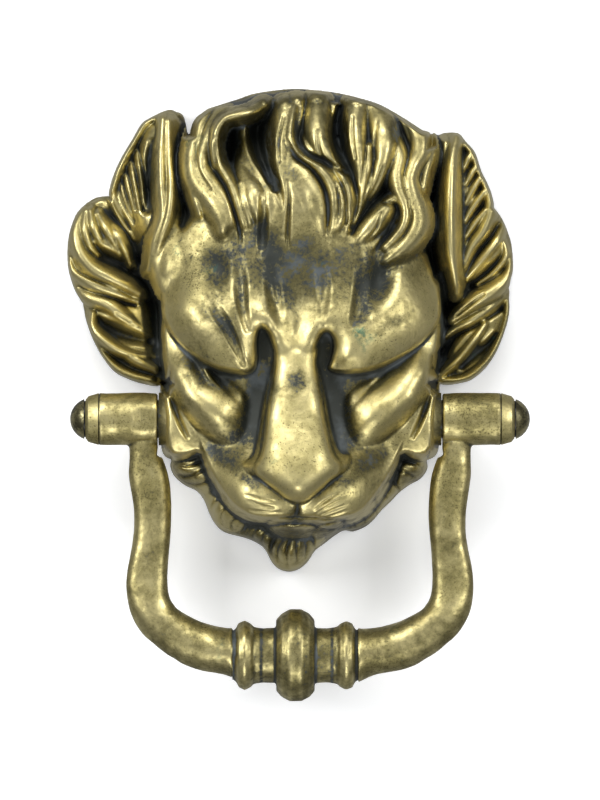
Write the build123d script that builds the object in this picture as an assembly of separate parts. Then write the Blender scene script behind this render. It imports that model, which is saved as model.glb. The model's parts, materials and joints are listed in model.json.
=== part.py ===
from build123d import *
import os

# Door knocker: a hollow cast lion mask that carries a drop bail on two pivot pins.
#
# Frame: +Z up, +X to the viewer's right, the door's face is the plane Y = 0 and the mask looks along -Y.
# The origin is on the door's face, midway between the two tapped fixing holes.
#
# Shapes are drawn in door coordinates (x, z, h): x and z as above but with z = 0 on the pivot axis, and h the
# height above the door. place() brings a finished piece into the frame.

# Layout
FIXING_SPACING = 92.0  # between the two tapped holes, up the door
UPPER_FIXING_Z = 68.0  # above the pivot axis
PIVOT_H = 20.0  # pivot axis above the door

# Pivot, one on each side
PIN_R = 4.0
RUNNING = 0.08  # radial clearance of the pin in its holes
LUG_X = 46.0  # outer face of the mask's side lugs
LUG_WALL = 8.0
LUG_R = 11.0
LUG_SWEEP_R = 12.5  # the arms are relieved to this radius beside the lugs
NUT_ROOM_R, NUT_ROOM_L = 10.0, 16.0  # space inside the mask for the nut
THRUST_T, THRUST_R = 0.4, 6.2
HEAD_WASHER_T, HEAD_WASHER_R = 0.5, 5.9
DOME_R, DOME_T = 6.5, 4.6
NUT_AF, NUT_T = 13.0, 6.5
SPRING_T, SPRING_R, SPRING_GAP = 2.0, 6.4, 1.2
PIN_TAIL = 2.0  # how far the pin stands out of its nut

# Bail
BARREL_R = 8.6
BARREL_IN = LUG_X + THRUST_T
BARREL_OUT = 69.8
FERRULE_L = 4.2
SPIGOT_R, SPIGOT_L = 6.4, 6.0
BAR_Z = -77.0  # axis of the straight turned stretch, below the pivot
TURNED_X = -1.5  # the turned group sits a little left of centre, as cast
BEAD_R, BEAD_HALF = 15.0, 6.2
NECK_R, COLLAR_R, BAR_R = 9.0, 11.3, 7.8
COLLAR_X, COLLAR_HALF = 16.5, 2.9  # from the middle of the bead

# Mask
BOSS_R = 9.0
TAP_R, TAP_DEPTH = 3.4, 18.0  # M8 tapping size
ROOF = 27.0  # depth of the hollow behind the face


def at(x, z, h):
    """A point given in door coordinates."""
    return Vector(x, -h, z)


def place(shape):
    """Moves a piece from the pivot's height to its place in the frame."""
    return Pos(0, 0, FIXING_SPACING / 2 - UPPER_FIXING_Z) * shape


def both_sides(piece):
    """The left and right copies of a piece drawn on the right."""
    return {"left": mirror(piece, Plane.YZ), "right": piece}


def on_pivot(piece):
    """Moves a piece drawn about the X axis onto the pivot axis."""
    return Pos(at(0, 0, PIVOT_H)) * piece


def turned(profile):
    """A solid turned about X from an outline of (x, radius) corners."""
    return revolve(make_face(Polyline(*profile, close=True)), Axis.X)


def ring(x_in, x_out, r, bore):
    return on_pivot(turned([(x_in, bore), (x_out, bore), (x_out, r), (x_in, r)]))


def rod(x_in, x_out, r):
    return ring(x_in, x_out, r, 0)


# Pivot pieces ----------------------------------------------------------------------------------------

HEAD_X = BARREL_OUT + HEAD_WASHER_T
NUT_X = LUG_X - LUG_WALL - SPRING_T - NUT_T


def pivot_pin():
    """A domed head outside the barrel and a shank that ends in the nut behind the lug."""
    tail = NUT_X - PIN_TAIL
    root = HEAD_X + 1  # inside the head
    shank = turned([(tail, 0), (root, 0), (root, PIN_R), (tail + 0.8, PIN_R), (tail, PIN_R - 0.8)])
    ball_r = (DOME_R**2 + DOME_T**2) / (2 * DOME_T)
    ball = Pos(HEAD_X + DOME_T - ball_r, 0, 0) * Rot(0, 90, 0) * Sphere(ball_r)
    dome = ball - Pos(HEAD_X - 20, 0, 0) * Box(40, 40, 40)
    return on_pivot(dome + shank)


def pin_nut():
    hexagon = RegularPolygon(NUT_AF / 2, 6, major_radius=False) - Circle(PIN_R)
    prism = extrude(hexagon, NUT_T)
    return on_pivot(Pos(NUT_X, 0, 0) * Rot(0, 90, 0) * prism)


def spring_washer():
    washer = ring(NUT_X + NUT_T, LUG_X - LUG_WALL, SPRING_R, PIN_R + 0.2)
    middle = at(NUT_X + NUT_T + SPRING_T / 2, SPRING_R, PIVOT_H)
    slit = Pos(middle) * Rot(0, 20, 0) * Box(SPRING_T * 3, SPRING_GAP, SPRING_R * 1.2)
    return washer - slit


def barrel_ferrule():
    """The end ferrule, with a spigot pressed into the barrel."""
    face_x = BARREL_OUT - FERRULE_L
    end_x = face_x - SPIGOT_L
    outline = [(BARREL_OUT, PIN_R + RUNNING), (BARREL_OUT, BARREL_R - 2.2),
               (BARREL_OUT - 0.9, BARREL_R - 1.1), (face_x, BARREL_R - 0.15), (face_x, SPIGOT_R),
               (end_x, SPIGOT_R), (end_x, PIN_R + RUNNING)]
    return on_pivot(turned(outline))


# Bail ------------------------------------------------------------------------------------------------

def barrel():
    face_x = BARREL_OUT - FERRULE_L
    outline = [(BARREL_IN, 0), (BARREL_IN, BARREL_R - 0.3), (BARREL_IN + 4, BARREL_R),
               (face_x - 8, BARREL_R), (face_x, BARREL_R - 0.15), (face_x, 0)]
    return on_pivot(turned(outline))


def arm():
    """The right arm, from inside the barrel down and round to the right-hand collar."""
    stations = (  # x, z, half width, half depth
        (52.5, -2, 6.1, 5.6), (49.3, -18, 6.0, 5.6), (48, -33, 5.6, 5.6), (49.2, -46, 5.9, 5.9),
        (49.8, -56, 6.4, 6.5), (45.5, -67.5, 6.8, 6.7), (35, -74, 7.1, 7.0),
        (17.5, BAR_Z + 0.4, BAR_R, BAR_R),
    )
    path = Spline(*[at(x, z, PIVOT_H) for x, z, _, _ in stations], tangents=[(-0.1, 0, -1), (-1, 0, -0.05)])
    sections = []
    for x, z, half_width, half_depth in stations:
        share = path.param_at_point(at(x, z, PIVOT_H))
        plane = Plane(path.position_at(share), x_dir=(0, 1, 0), z_dir=path.tangent_at(share))
        sections.append(plane * Ellipse(half_depth, half_width))
    return loft(sections)


def turned_group():
    """The bead between two collars, turned about the bar's axis."""
    line = [(-COLLAR_X - COLLAR_HALF - 1.2, 0), (-COLLAR_X - COLLAR_HALF - 1.2, BAR_R)]
    for side in (-1, 1):
        near, far = COLLAR_X - COLLAR_HALF, COLLAR_X + COLLAR_HALF
        collar = [(far, BAR_R + 0.9), (far - 0.9, COLLAR_R - 0.8), (COLLAR_X, COLLAR_R),
                  (near + 0.9, COLLAR_R - 1), (near, NECK_R + 0.3), (near - 3, NECK_R - 0.2)]
        bead = [(BEAD_HALF, NECK_R), (BEAD_HALF, NECK_R + 2.6), (BEAD_HALF * 0.72, BEAD_R - 1.4),
                (BEAD_HALF * 0.3, BEAD_R)]
        half = [(side * x, r) for x, r in collar + bead]
        line += half if side < 0 else half[::-1]
    line += [(COLLAR_X + COLLAR_HALF + 1.2, BAR_R), (COLLAR_X + COLLAR_HALF + 1.2, 0)]
    return Pos(at(TURNED_X, BAR_Z, PIVOT_H)) * turned(line)


def knocker_bail():
    bail = turned_group() + [*both_sides(barrel()).values(), *both_sides(arm()).values()]
    cuts = (
        rod(BARREL_IN - 12, BARREL_IN, LUG_SWEEP_R),
        rod(BARREL_IN - 1, BARREL_OUT + 1, PIN_R + RUNNING),
        rod(BARREL_OUT - FERRULE_L - SPIGOT_L, BARREL_OUT + 1, SPIGOT_R),
    )
    return bail - [side for cut in cuts for side in both_sides(cut).values()]


# Mask ------------------------------------------------------------------------------------------------

def pad(points, height, crown=0.78, base=0.0):
    """A drafted pad: an outline that rises from base to height and draws in to crown times its size."""
    cx = sum(x for x, _ in points) / len(points)
    cz = sum(z for _, z in points) / len(points)
    sections = []
    for share, level in ((1.0, 0.0), (1 - (1 - crown) * 0.35, 0.62), (crown, 1.0)):
        h = base + (height - base) * level
        loop = [at(cx + (x - cx) * share, cz + (z - cz) * share, h) for x, z in points]
        sections.append(Face(Wire([Spline(*loop, periodic=True)])))
    return loft(sections)


def blob(x, z, h, across, along, deep, turn):
    """An ellipsoid with these half sizes, turned in the door's plane by turn degrees (anticlockwise)."""
    ball = scale(Sphere(1), by=(across, deep, along))
    return Pos(at(x, z, h)) * Rot(0, -turn, 0) * ball


CROWN = [(-44, 24), (-45, 60), (-40, 92), (-25, 103.5), (-3, 108.5), (22, 105), (43, 92.5), (45, 60),
         (44, 24), (0, 16)]
FACE = [(-46, 44), (-45, 20), (-41, 0), (-31, -20), (-20, -32), (-3, -34.5), (20, -32.5), (31, -20),
        (41, 0), (46, 20), (46.5, 44), (0, 60)]
BEARD = [(-41, -8), (-41.5, -17), (-32, -25), (-27, -35), (-15, -39.8), (-10, -46), (-4, -50), (2, -47.5),
         (8, -41), (16, -37), (24, -33), (32, -24), (41, -17.5), (41, -8), (0, -4)]
EAR = [(39, 96), (47.5, 99.5), (55, 94), (60.5, 82), (62.4, 71), (57, 55), (47, 42), (43, 60)]
LOBES = (
    [(57, 74), (66, 72), (73, 62), (73.5, 49), (69, 39), (56, 36), (44, 40), (47, 58)],
    [(64, 42), (69.5, 37), (67.5, 26), (60, 15.5), (50, 11.5), (42, 13), (41, 28), (50, 41)],
)
LOBE_H = (15, 11)
SWELLS = (  # soft masses of both halves of the head: x, z, h, half width, half length, half depth, turn
    (26, 31, 35, 20, 12, 15, -14),  # brow
    (27, 2, 27, 15, 13, 17, 30),  # cheek
    (14, -21, 37, 16.5, 12, 15, -16),  # muzzle
    (48, 68, 20, 5.5, 29, 14, -4),  # ear ridge
    (60, 57, 12, 12, 15, 10, 20),  # mane
    (56, 28, 9, 12, 12, 8, -30),  # mane
)
MIDDLE = (
    (-1, 62, 16, 42, 42, 25, 0),  # hair mass
    (0, 34, 26, 26, 24, 18, 0),  # forehead
    (0, -35, 32, 12, 7, 11, 0),  # chin
    (-3.5, -44, 12, 6, 6.5, 7, 0),  # beard tuft
)
EYE = (21, 9.5, 47, 12.5, 5.2, 12, -12)
LOCKS = (  # half width, then the lock's ridge as (x, z, h) from root to tip
    (7, (-14, 99, 28), (-25, 88, 39), (-23, 74, 43), (-17, 63, 45)),
    (7, (-28, 93, 26), (-37, 80, 33), (-34, 66, 36), (-25, 60, 41)),
    (6, (-7, 99, 32), (-12, 86, 42), (-15, 76, 44), (-13, 66, 45)),
    (6, (0, 101, 31), (-4, 87, 42), (0, 75, 45), (1, 65, 46)),
    (7.5, (6, 100, 31), (5, 86, 42), (13, 74, 46), (8, 61, 46)),
    (6, (15, 99, 29), (14, 87, 40), (22, 75, 44), (19, 64, 45)),
    (7, (31, 95, 25), (38, 82, 33), (36, 66, 37), (28, 51, 41)),
)
HOLLOW = [(-38, 86), (-22, 99), (0, 102), (22, 99), (38, 86), (40, 55), (39, 20), (34, -6), (20, -25),
          (0, -29), (-20, -25), (-34, -6), (-39, 20), (-40, 55)]
EAR_HOLLOW = [(50, 82), (57, 76), (61, 66), (67, 58), (66, 46), (60, 38), (61, 28), (55, 20), (49, 24),
              (50, 55)]
EAR_ROOF = 8.0


def nose():
    """The long flat bridge, which widens and rises down to the nose pad."""
    stations = (
        (32, 7, 44), (20, 7, 49.5), (0, 9, 54.5), (-14, 13.5, 59.5), (-22, 15, 61.5), (-27.5, 5, 58),
    )
    sections = []
    for z, half, h in stations:  # half width and height of the bridge
        corners = [at(-half * 1.3, z, 24), at(-half, z, h - 4), at(-half * 0.55, z, h - 0.4), at(0, z, h),
                   at(half * 0.55, z, h - 0.4), at(half, z, h - 4), at(half * 1.3, z, 24)]
        sections.append(Face(Wire(Polyline(*corners, close=True).edges())))
    return loft(sections, ruled=True)


def lock(half_width, *ridge):
    """A tapering lock of hair along its ridge."""
    path = Spline(*[at(*p) for p in ridge])
    sections = []
    for share, size in ((0, 0.75), (0.5, 1.0), (1, 0.3)):
        along = path.tangent_at(share)
        plane = Plane(path.position_at(share), x_dir=along.cross(Vector(0, 1, 0)), z_dir=along)
        sections.append(plane * Ellipse(half_width * size, 8 * size))
    return sweep(sections, path=path, multisection=True)


def mask_relief():
    """The lion's head as a solid block of relief, before it is hollowed."""
    halves = [pad(EAR, 24, 0.62)]
    halves += [pad(lobe, height, 0.84) for lobe, height in zip(LOBES, LOBE_H)]
    halves += [blob(*swell) for swell in SWELLS]
    solid = pad(CROWN, 36, 0.80) + [pad(FACE, 36, 0.82), pad(BEARD, 24, 0.86), *(blob(*m) for m in MIDDLE)]
    for piece in halves:
        solid += list(both_sides(piece).values())
    solid += [nose(), *(lock(*entry) for entry in LOCKS)]
    return solid - list(both_sides(blob(*EYE)).values())


def lion_mask():
    ear_hollow = pad(EAR_HOLLOW, EAR_ROOF, 0.8, base=-0.01)
    behind_door = Pos(0, 20, 30) * Box(200, 40, 260)
    hollow = pad(HOLLOW, ROOF, 0.68, base=-0.01)
    body = mask_relief() - [behind_door, hollow, *both_sides(ear_hollow).values()]
    lug_in = LUG_X - LUG_WALL
    added = list(both_sides(rod(lug_in - 8, LUG_X, LUG_R)).values())
    side_room = Pos(at(LUG_X + 20, 0, PIVOT_H)) * Box(40, 2 * BARREL_R + 4, 2 * BARREL_R + 4)
    nut_room = rod(lug_in - NUT_ROOM_L, lug_in, NUT_ROOM_R)
    cuts = [side_room, nut_room, rod(lug_in - 1, LUG_X + 1, PIN_R + RUNNING)]
    cuts = [side for cut in cuts for side in both_sides(cut).values()]
    for z in (UPPER_FIXING_Z, UPPER_FIXING_Z - FIXING_SPACING):
        added.append(Pos(at(0, z, ROOF / 2)) * Rot(90, 0, 0) * Cylinder(BOSS_R, ROOF))
        cuts.append(Pos(at(0, z, TAP_DEPTH / 2 - 0.5)) * Rot(90, 0, 0) * Cylinder(TAP_R, TAP_DEPTH + 1))
    return body + added - cuts


# Output ----------------------------------------------------------------------------------------------

def pieces():
    """Every piece by its node name, in the frame."""
    made = {"lion_mask": lion_mask(), "knocker_bail": knocker_bail()}
    paired = {
        "barrel_ferrule": barrel_ferrule(),
        "pivot_pin": pivot_pin(),
        "head_washer": ring(BARREL_OUT, HEAD_X, HEAD_WASHER_R, PIN_R + RUNNING),
        "thrust_washer": ring(LUG_X, BARREL_IN, THRUST_R, PIN_R + RUNNING),
        "spring_washer": spring_washer(),
        "pin_nut": pin_nut(),
    }
    for name, piece in paired.items():
        for side, copy in both_sides(piece).items():
            made[f"{side}_{name}"] = copy
    return {name: place(shape) for name, shape in made.items()}


os.makedirs("parts", exist_ok=True)
for name, shape in pieces().items():
    export_step(shape, f"parts/{name}.step")
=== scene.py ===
import json
import math

import bmesh
import bpy
import numpy as np
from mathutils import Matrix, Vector


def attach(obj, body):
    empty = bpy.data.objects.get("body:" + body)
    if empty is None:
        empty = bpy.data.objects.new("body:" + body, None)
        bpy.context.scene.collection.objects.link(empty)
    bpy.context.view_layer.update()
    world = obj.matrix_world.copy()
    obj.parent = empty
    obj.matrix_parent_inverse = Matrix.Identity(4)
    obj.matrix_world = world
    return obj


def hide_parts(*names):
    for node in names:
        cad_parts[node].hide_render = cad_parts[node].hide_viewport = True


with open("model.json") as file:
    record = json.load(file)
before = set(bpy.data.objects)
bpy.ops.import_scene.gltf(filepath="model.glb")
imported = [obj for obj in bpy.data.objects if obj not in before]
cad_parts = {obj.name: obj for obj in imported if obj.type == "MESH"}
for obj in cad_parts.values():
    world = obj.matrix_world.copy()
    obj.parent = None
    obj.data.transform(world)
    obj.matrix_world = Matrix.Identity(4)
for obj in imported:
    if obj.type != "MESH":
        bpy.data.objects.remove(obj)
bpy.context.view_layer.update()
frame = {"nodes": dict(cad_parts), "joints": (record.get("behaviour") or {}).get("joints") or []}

# Brass lion's mask door knocker with a drop bail.
#
# Shapes are drawn in door coordinates, in mm: x to the right and z up from the pivot axis, and h the height
# above the door's face. to_frame turns them into the frame's metres, where y is -h.

MM = 0.001
PIVOT = Vector(frame["joints"][0]["pos_m"])
PIVOT_H = -PIVOT.y / MM  # the pivot axis above the door

# ---- camera, lights and backdrop -------------------------------------------------------------------------
VIEW_HEIGHT = 0.260  # what the picture takes in, at the object
CAMERA_FAR = 2.4
CAMERA_Z = PIVOT.z + 0.0062
RELIEF_Y = -0.026  # depth at which the picture's scale is exact
SENSOR = 36.0
CLIP_END = 20


def placed(name, data):
    """A new object in the scene."""
    obj = bpy.data.objects.new(name, data)
    bpy.context.scene.collection.objects.link(obj)
    return obj


camera = placed("camera", bpy.data.cameras.new("camera"))
camera.data.lens = SENSOR * CAMERA_FAR / VIEW_HEIGHT
camera.data.sensor_width = SENSOR
camera.data.clip_end = CLIP_END
camera.location = (0, RELIEF_Y - CAMERA_FAR, CAMERA_Z)
camera.rotation_euler = (math.pi / 2, 0, 0)
bpy.context.scene.camera = camera
bpy.context.scene.view_settings.view_transform = "Standard"

TARGET = Vector((0, -0.02, -0.01))  # what the lights are aimed at


def softbox(name, place, width, height, power):
    """A rectangular lamp that faces the knocker."""
    light = bpy.data.lights.new(name, "AREA")
    light.shape = "RECTANGLE"
    light.size, light.size_y = width, height
    light.energy = power
    lamp = placed(name, light)
    lamp.location = place
    lamp.rotation_euler = (TARGET - Vector(place)).to_track_quat("-Z", "Y").to_euler()


softbox("left_box", (-0.95, -0.80, 0.40), 0.45, 0.8, 9.0)
softbox("right_box", (0.95, -0.85, 0.30), 0.35, 0.8, 6.5)
softbox("top_box", (-0.1, -0.80, 1.05), 1.0, 0.40, 9.0)
softbox("low_box", (0.0, -0.85, -1.05), 0.9, 0.45, 6.0)


# from in front of the knocker to behind it: how far along, and how bright
ROOM_SHADES = ((0.0, 0.46), (0.16, 0.40), (0.40, 0.15), (0.50, 0.11), (0.56, 0.22), (0.75, 0.34))
COOL = (0.98, 1.0, 1.03)


def studio_room():
    """A room that is fairly bright in front, dim at the sides and pale behind, where the door is."""
    world = bpy.data.worlds.new("world")
    bpy.context.scene.world = world
    world.use_nodes = True
    nodes, links = world.node_tree.nodes, world.node_tree.links
    place = nodes.new("ShaderNodeTexCoord")
    parts = nodes.new("ShaderNodeSeparateXYZ")
    depth = nodes.new("ShaderNodeMapRange")
    depth.inputs["From Min"].default_value = -1
    shade = nodes.new("ShaderNodeValToRGB")
    stops = shade.color_ramp.elements
    for k, (at, level) in enumerate(ROOM_SHADES):
        stop = stops[k] if k < 2 else stops.new(at)  # a new ramp has two stops
        stop.position = at
        stop.color = (*(level * tint for tint in COOL), 1)
    links.new(place.outputs["Generated"], parts.inputs[0])
    links.new(parts.outputs["Y"], depth.inputs["Value"])
    links.new(depth.outputs[0], shade.inputs[0])
    links.new(shade.outputs[0], nodes["Background"].inputs["Color"])


studio_room()


def flat_panel(name, corners, material):
    """A flat sheet that belongs to the stage and not to the object."""
    mesh = bpy.data.meshes.new(name)
    mesh.from_pydata(corners, [], [tuple(range(len(corners)))])
    mesh.materials.append(material)
    panel = placed(name, mesh)
    return panel


PALE_LOOK = {
    "Base Color": (0.93, 0.93, 0.93, 1),
    "Roughness": 0.8,
    "Specular IOR Level": 0.2,
    "Emission Color": (0.97, 0.985, 1, 1),
    "Emission Strength": 0.30,
}


def backdrop_material():
    """Pale and plain, and clear from behind, so that the knocker's back can be seen through it."""
    pale = bpy.data.materials.new("pale_table")
    pale.use_nodes = True
    nodes, links = pale.node_tree.nodes, pale.node_tree.links
    shader = nodes["Principled BSDF"]
    for key, value in PALE_LOOK.items():
        shader.inputs[key].default_value = value
    clear = nodes.new("ShaderNodeBsdfTransparent")
    mix = nodes.new("ShaderNodeMixShader")
    side = nodes.new("ShaderNodeNewGeometry")
    links.new(side.outputs["Backfacing"], mix.inputs[0])
    links.new(shader.outputs[0], mix.inputs[1])
    links.new(clear.outputs[0], mix.inputs[2])
    links.new(mix.outputs[0], nodes["Material Output"].inputs["Surface"])
    return pale


WALL, WALL_Y = 1.6, 0.0006  # half the backdrop's side, and how far it lies behind the door's face
wall_corners = [(-WALL, WALL_Y, -WALL), (WALL, WALL_Y, -WALL), (WALL, WALL_Y, WALL), (-WALL, WALL_Y, WALL)]
backdrop = flat_panel("backdrop", wall_corners, backdrop_material())
backdrop.visible_glossy = False  # the room's own pale side stands for it in the reflections


# ---- a sheet of heights ----------------------------------------------------------------------------------
STEP = 0.4  # between the sheet's points
MARGIN = 1.6  # the sheet's spare border
CURVE_STEPS = 6  # points on each span of a smooth line
SHEET_GIVE = 0.02  # how loosely a bent sheet follows its points
OUTLINE_REACH = 12  # how far from an outline its distance is worked out
FORM_REACH = 0.5
WALL_SLOPE = 7.0  # how steeply a form stands out of what is there already
THINNEST = 0.25  # least half width of a ridge or groove
RIDGE_POWER = 2.2  # how square a ridge's top is
SKIRT, SKIRT_SLOPE = 2.4, 4.0  # width and slope of a ridge's sides, outside its half width
RIDGE_REACH = 2.5
GROOVE_REACH = 1.1
MELT_CORE = 1.6  # above 1, the middle of a melted oval is wholly blurred
PATCH_OVERLAP = 0.35  # how much the weaker of two dark patches adds
NOWHERE = -1e3


def curve(points, closed=False):
    """A smooth line through points, with every column carried along."""
    p = np.array(points, float)
    if closed:
        p = np.vstack([p[-1], p, p[:2]])
    else:
        p = np.vstack([2 * p[0] - p[1], p, 2 * p[-1] - p[-2]])
    t = (np.arange(CURVE_STEPS) / CURVE_STEPS)[:, None]
    spans = []
    for a, b, c, d in zip(p, p[1:], p[2:], p[3:]):
        bend = (2 * a - 5 * b + 4 * c - d) * t**2 + (3 * b - a - 3 * c + d) * t**3
        spans.append(0.5 * (2 * b + (c - a) * t + bend))
    line = np.vstack(spans)
    return line if closed else np.vstack([line, p[-2]])


def nearest(line, x, z, closed=False):
    """How far each (x, z) is from a line, and the line's other columns at the nearest place."""
    ends = np.vstack([line[1:], line[:1]]) if closed else line[1:]
    best = np.full(x.shape, 1e9)
    carried = np.zeros((line.shape[1] - 2, *x.shape))
    for a, b in zip(line, ends):
        dx, dz = b[0] - a[0], b[1] - a[1]
        t = np.clip(((x - a[0]) * dx + (z - a[1]) * dz) / (dx * dx + dz * dz + 1e-12), 0, 1)
        far = np.hypot(x - a[0] - t * dx, z - a[1] - t * dz)
        closer = far < best
        best = np.where(closer, far, best)
        for k in range(len(carried)):
            carried[k] = np.where(closer, a[k + 2] + t * (b[k + 2] - a[k + 2]), carried[k])
    return best, carried


def within(line, x, z):
    """True inside a closed line."""
    inside = np.zeros(x.shape, bool)
    for a, b in zip(line, np.vstack([line[1:], line[:1]])):
        if a[1] != b[1]:
            crosses = (a[1] > z) != (b[1] > z)
            inside ^= crosses & (x < (b[0] - a[0]) * (z - a[1]) / (b[1] - a[1]) + a[0])
    return inside


def bent_sheet(points, x, z):
    """The smoothest surface through points of (x, z, h)."""
    p = np.array(points, float)
    n = len(p)

    def kernel(r2):
        return 0.5 * r2 * np.log(r2 + 1e-9)

    gaps = (p[:, None, 0] - p[None, :, 0]) ** 2 + (p[:, None, 1] - p[None, :, 1]) ** 2
    plane = np.column_stack([np.ones(n), p[:, :2]])
    system = np.zeros((n + 3, n + 3))
    system[:n, :n] = kernel(gaps) + np.eye(n) * SHEET_GIVE
    system[:n, n:] = plane
    system[n:, :n] = plane.T
    w = np.linalg.solve(system, np.append(p[:, 2], [0, 0, 0]))
    h = w[n] + w[n + 1] * x + w[n + 2] * z
    for (px, pz, _), weight in zip(p, w):
        h = h + weight * kernel((x - px) ** 2 + (z - pz) ** 2)
    return h


def softer_max(a, b, k):
    """The larger of a and b, rounded over where they are within k of each other."""
    t = np.clip(0.5 + 0.5 * (b - a) / k, 0, 1)
    return a + (b - a) * t + k * t * (1 - t)


def blurred(h, passes):
    """A grid with each point moved towards the mean of its four neighbours, some number of times."""
    for _ in range(passes):
        p = np.pad(h, 1, mode="edge")
        h = h * 0.5 + (p[:-2, 1:-1] + p[2:, 1:-1] + p[1:-1, :-2] + p[1:-1, 2:]) / 8
    return h


class Relief:
    """Heights above the door over a grid, in door coordinates."""

    def __init__(self, low, high):
        xs = np.arange(low[0] - MARGIN, high[0] + MARGIN, STEP)
        zs = np.arange(low[1] - MARGIN, high[1] + MARGIN, STEP)
        self.x, self.z = np.meshgrid(xs, zs)
        self.h = np.zeros(self.x.shape)
        self.edge = np.full(self.x.shape, NOWHERE)  # how far inside the whole outline
        self.grime_and_shade = np.zeros(self.x.shape)  # how much old patina lies on it, and how much painted shade

    def part(self, line, reach):
        """The piece of the grid near a line."""
        x, z = self.x[0], self.z[:, 0]
        i = np.flatnonzero((z > line[:, 1].min() - reach) & (z < line[:, 1].max() + reach))
        j = np.flatnonzero((x > line[:, 0].min() - reach) & (x < line[:, 0].max() + reach))
        return slice(i[0], i[-1] + 1), slice(j[0], j[-1] + 1)

    def outline(self, points):
        """Adds a closed outline to the silhouette."""
        line = curve(points, True)
        here = self.part(line, OUTLINE_REACH)
        far, _ = nearest(line, self.x[here], self.z[here], True)
        inside = within(line, self.x[here], self.z[here])
        self.edge[here] = np.maximum(self.edge[here], np.where(inside, far, -far))

    def form(self, rim, inner, roll=2.0, drop=1.5, soft=0.4, slope=WALL_SLOPE):
        """A mass that stands up, through rim and inner points (x, z, h). roll and drop round its edge."""
        line = curve(rim, True)
        here = self.part(line, FORM_REACH)
        x, z, old = self.x[here], self.z[here], self.h[here]
        d, _ = nearest(line[:, :2], x, z, True)
        t = 1 - np.clip(d / roll, 0, 1)
        h = bent_sheet(list(rim) + list(inner), x, z) - drop * (1 - np.sqrt(1 - t**2))
        new = softer_max(old, np.minimum(h, old + slope * d), soft)
        new = np.where(d < soft, old + (new - old) * d / soft, new)
        self.h[here] = np.where(within(line, x, z), new, old)

    def ridge(self, points, drop=1.0, soft=0.25):
        """A strand through (x, z, h, half width) whose sides fall away by drop half widths, then steeply."""
        line = curve(points)
        here = self.part(line, line[:, 3].max() + RIDGE_REACH)
        far, (h, w) = nearest(line, self.x[here], self.z[here])
        w = np.maximum(w, THINNEST)
        strand = h - drop * w * np.minimum(far / w, 1) ** RIDGE_POWER - SKIRT_SLOPE * np.maximum(far - w, 0)
        self.h[here] = softer_max(self.h[here], np.where(far < w + SKIRT, strand, NOWHERE), soft)

    def groove(self, points):
        """A valley through (x, z, depth, half width)."""
        line = curve(points)
        here = self.part(line, line[:, 3].max() * GROOVE_REACH)
        far, (depth, w) = nearest(line, self.x[here], self.z[here])
        t = np.clip(far / np.maximum(w, THINNEST), 0, 1)
        self.h[here] -= depth * (1 - t**2) ** 2

    def ridges(self, lines, drop, soft):
        for points in lines:
            self.ridge(points, drop, soft)

    def grooves(self, lines):
        for points in lines:
            self.groove(points)

    def patch(self, x, z, rx, rz, turn):
        """A soft-edged oval: 1 in its middle, and 1/e at its half width and half height."""
        a = math.radians(turn)
        u = (self.x - x) * math.cos(a) + (self.z - z) * math.sin(a)
        v = -(self.x - x) * math.sin(a) + (self.z - z) * math.cos(a)
        return np.exp(-((u / rx) ** 2 + (v / rz) ** 2))

    def swell(self, x, z, rx, rz, rise, turn):
        """A soft bump, or a dent where rise is negative."""
        self.h += rise * self.patch(x, z, rx, rz, turn)

    def melt(self, x, z, rx, rz, passes, turn=0.0):
        """Lets everything in a soft-edged oval run together."""
        share = np.clip(MELT_CORE * self.patch(x, z, rx, rz, turn), 0, 1)
        self.h += (blurred(self.h, passes) - self.h) * share

    def darken(self, x, z, rx, rz, strength, turn):
        """Darkens a soft-edged oval: old patina on the open metal, and painted shade in the eye hollows."""
        patch = strength * self.patch(x, z, rx, rz, turn)
        self.grime_and_shade = np.maximum(self.grime_and_shade, patch) + PATCH_OVERLAP * np.minimum(self.grime_and_shade, patch)


# ---- the lion --------------------------------------------------------------------------------------------
# Outlines are (x, z). Forms add h, ridges h and half width, and grooves depth and half width.

LEFT_EAR = [(-37.5, 97), (-41, 101), (-44, 101.3), (-49, 99), (-52, 97), (-55, 92), (-58, 87), (-60.5, 82),
            (-62.2, 77), (-62.5, 72), (-58, 62), (-50, 50), (-40, 50), (-36, 75)]
LEFT_LOBE_1 = [(-61, 72), (-65, 73), (-68.6, 71.8), (-73, 68), (-75.5, 62), (-76.4, 56), (-76.2, 50),
               (-75, 45), (-73, 40.5), (-69.5, 36.5), (-60, 33), (-44, 34), (-42, 50), (-50, 62)]
LEFT_LOBE_2 = [(-70, 40), (-70.8, 35), (-69, 28.5), (-66.5, 23), (-64, 19), (-61, 15.5), (-57, 13.3),
               (-52, 11.6), (-46, 11), (-42, 16), (-42, 40), (-58, 44)]
RIGHT_EAR = [(43, 92), (45.5, 93.2), (48, 94), (52, 93.8), (54.3, 91.3), (57.5, 87.5), (59.5, 81.6),
             (61.5, 77.5), (63.2, 73), (63.5, 68), (60, 58), (52, 42), (44, 42), (42, 70)]
RIGHT_LOBE_1 = [(62, 70), (64, 69), (66.5, 65.5), (68.2, 61.5), (69.5, 57), (70, 50), (69.3, 46),
                (67.5, 41.5), (60, 38), (45, 32), (45, 46), (54, 60)]
RIGHT_LOBE_2 = [(67.5, 44), (68.7, 39), (68.6, 34), (67.3, 29), (65, 23), (62, 18), (58, 14), (54, 12),
                (46, 11.5), (43, 18), (44, 36), (56, 44)]
HEAD = [(-40, 20), (-40, 50), (-37, 75), (-36, 95), (-31.5, 101), (-26.7, 103), (-20.5, 105), (-14.3, 107),
        (-3, 108.4), (5, 108), (12.7, 107), (21, 105), (26.7, 103), (33.8, 99), (39.6, 95.2), (43.5, 92),
        (43, 75), (43, 50), (42, 20)]
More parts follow.
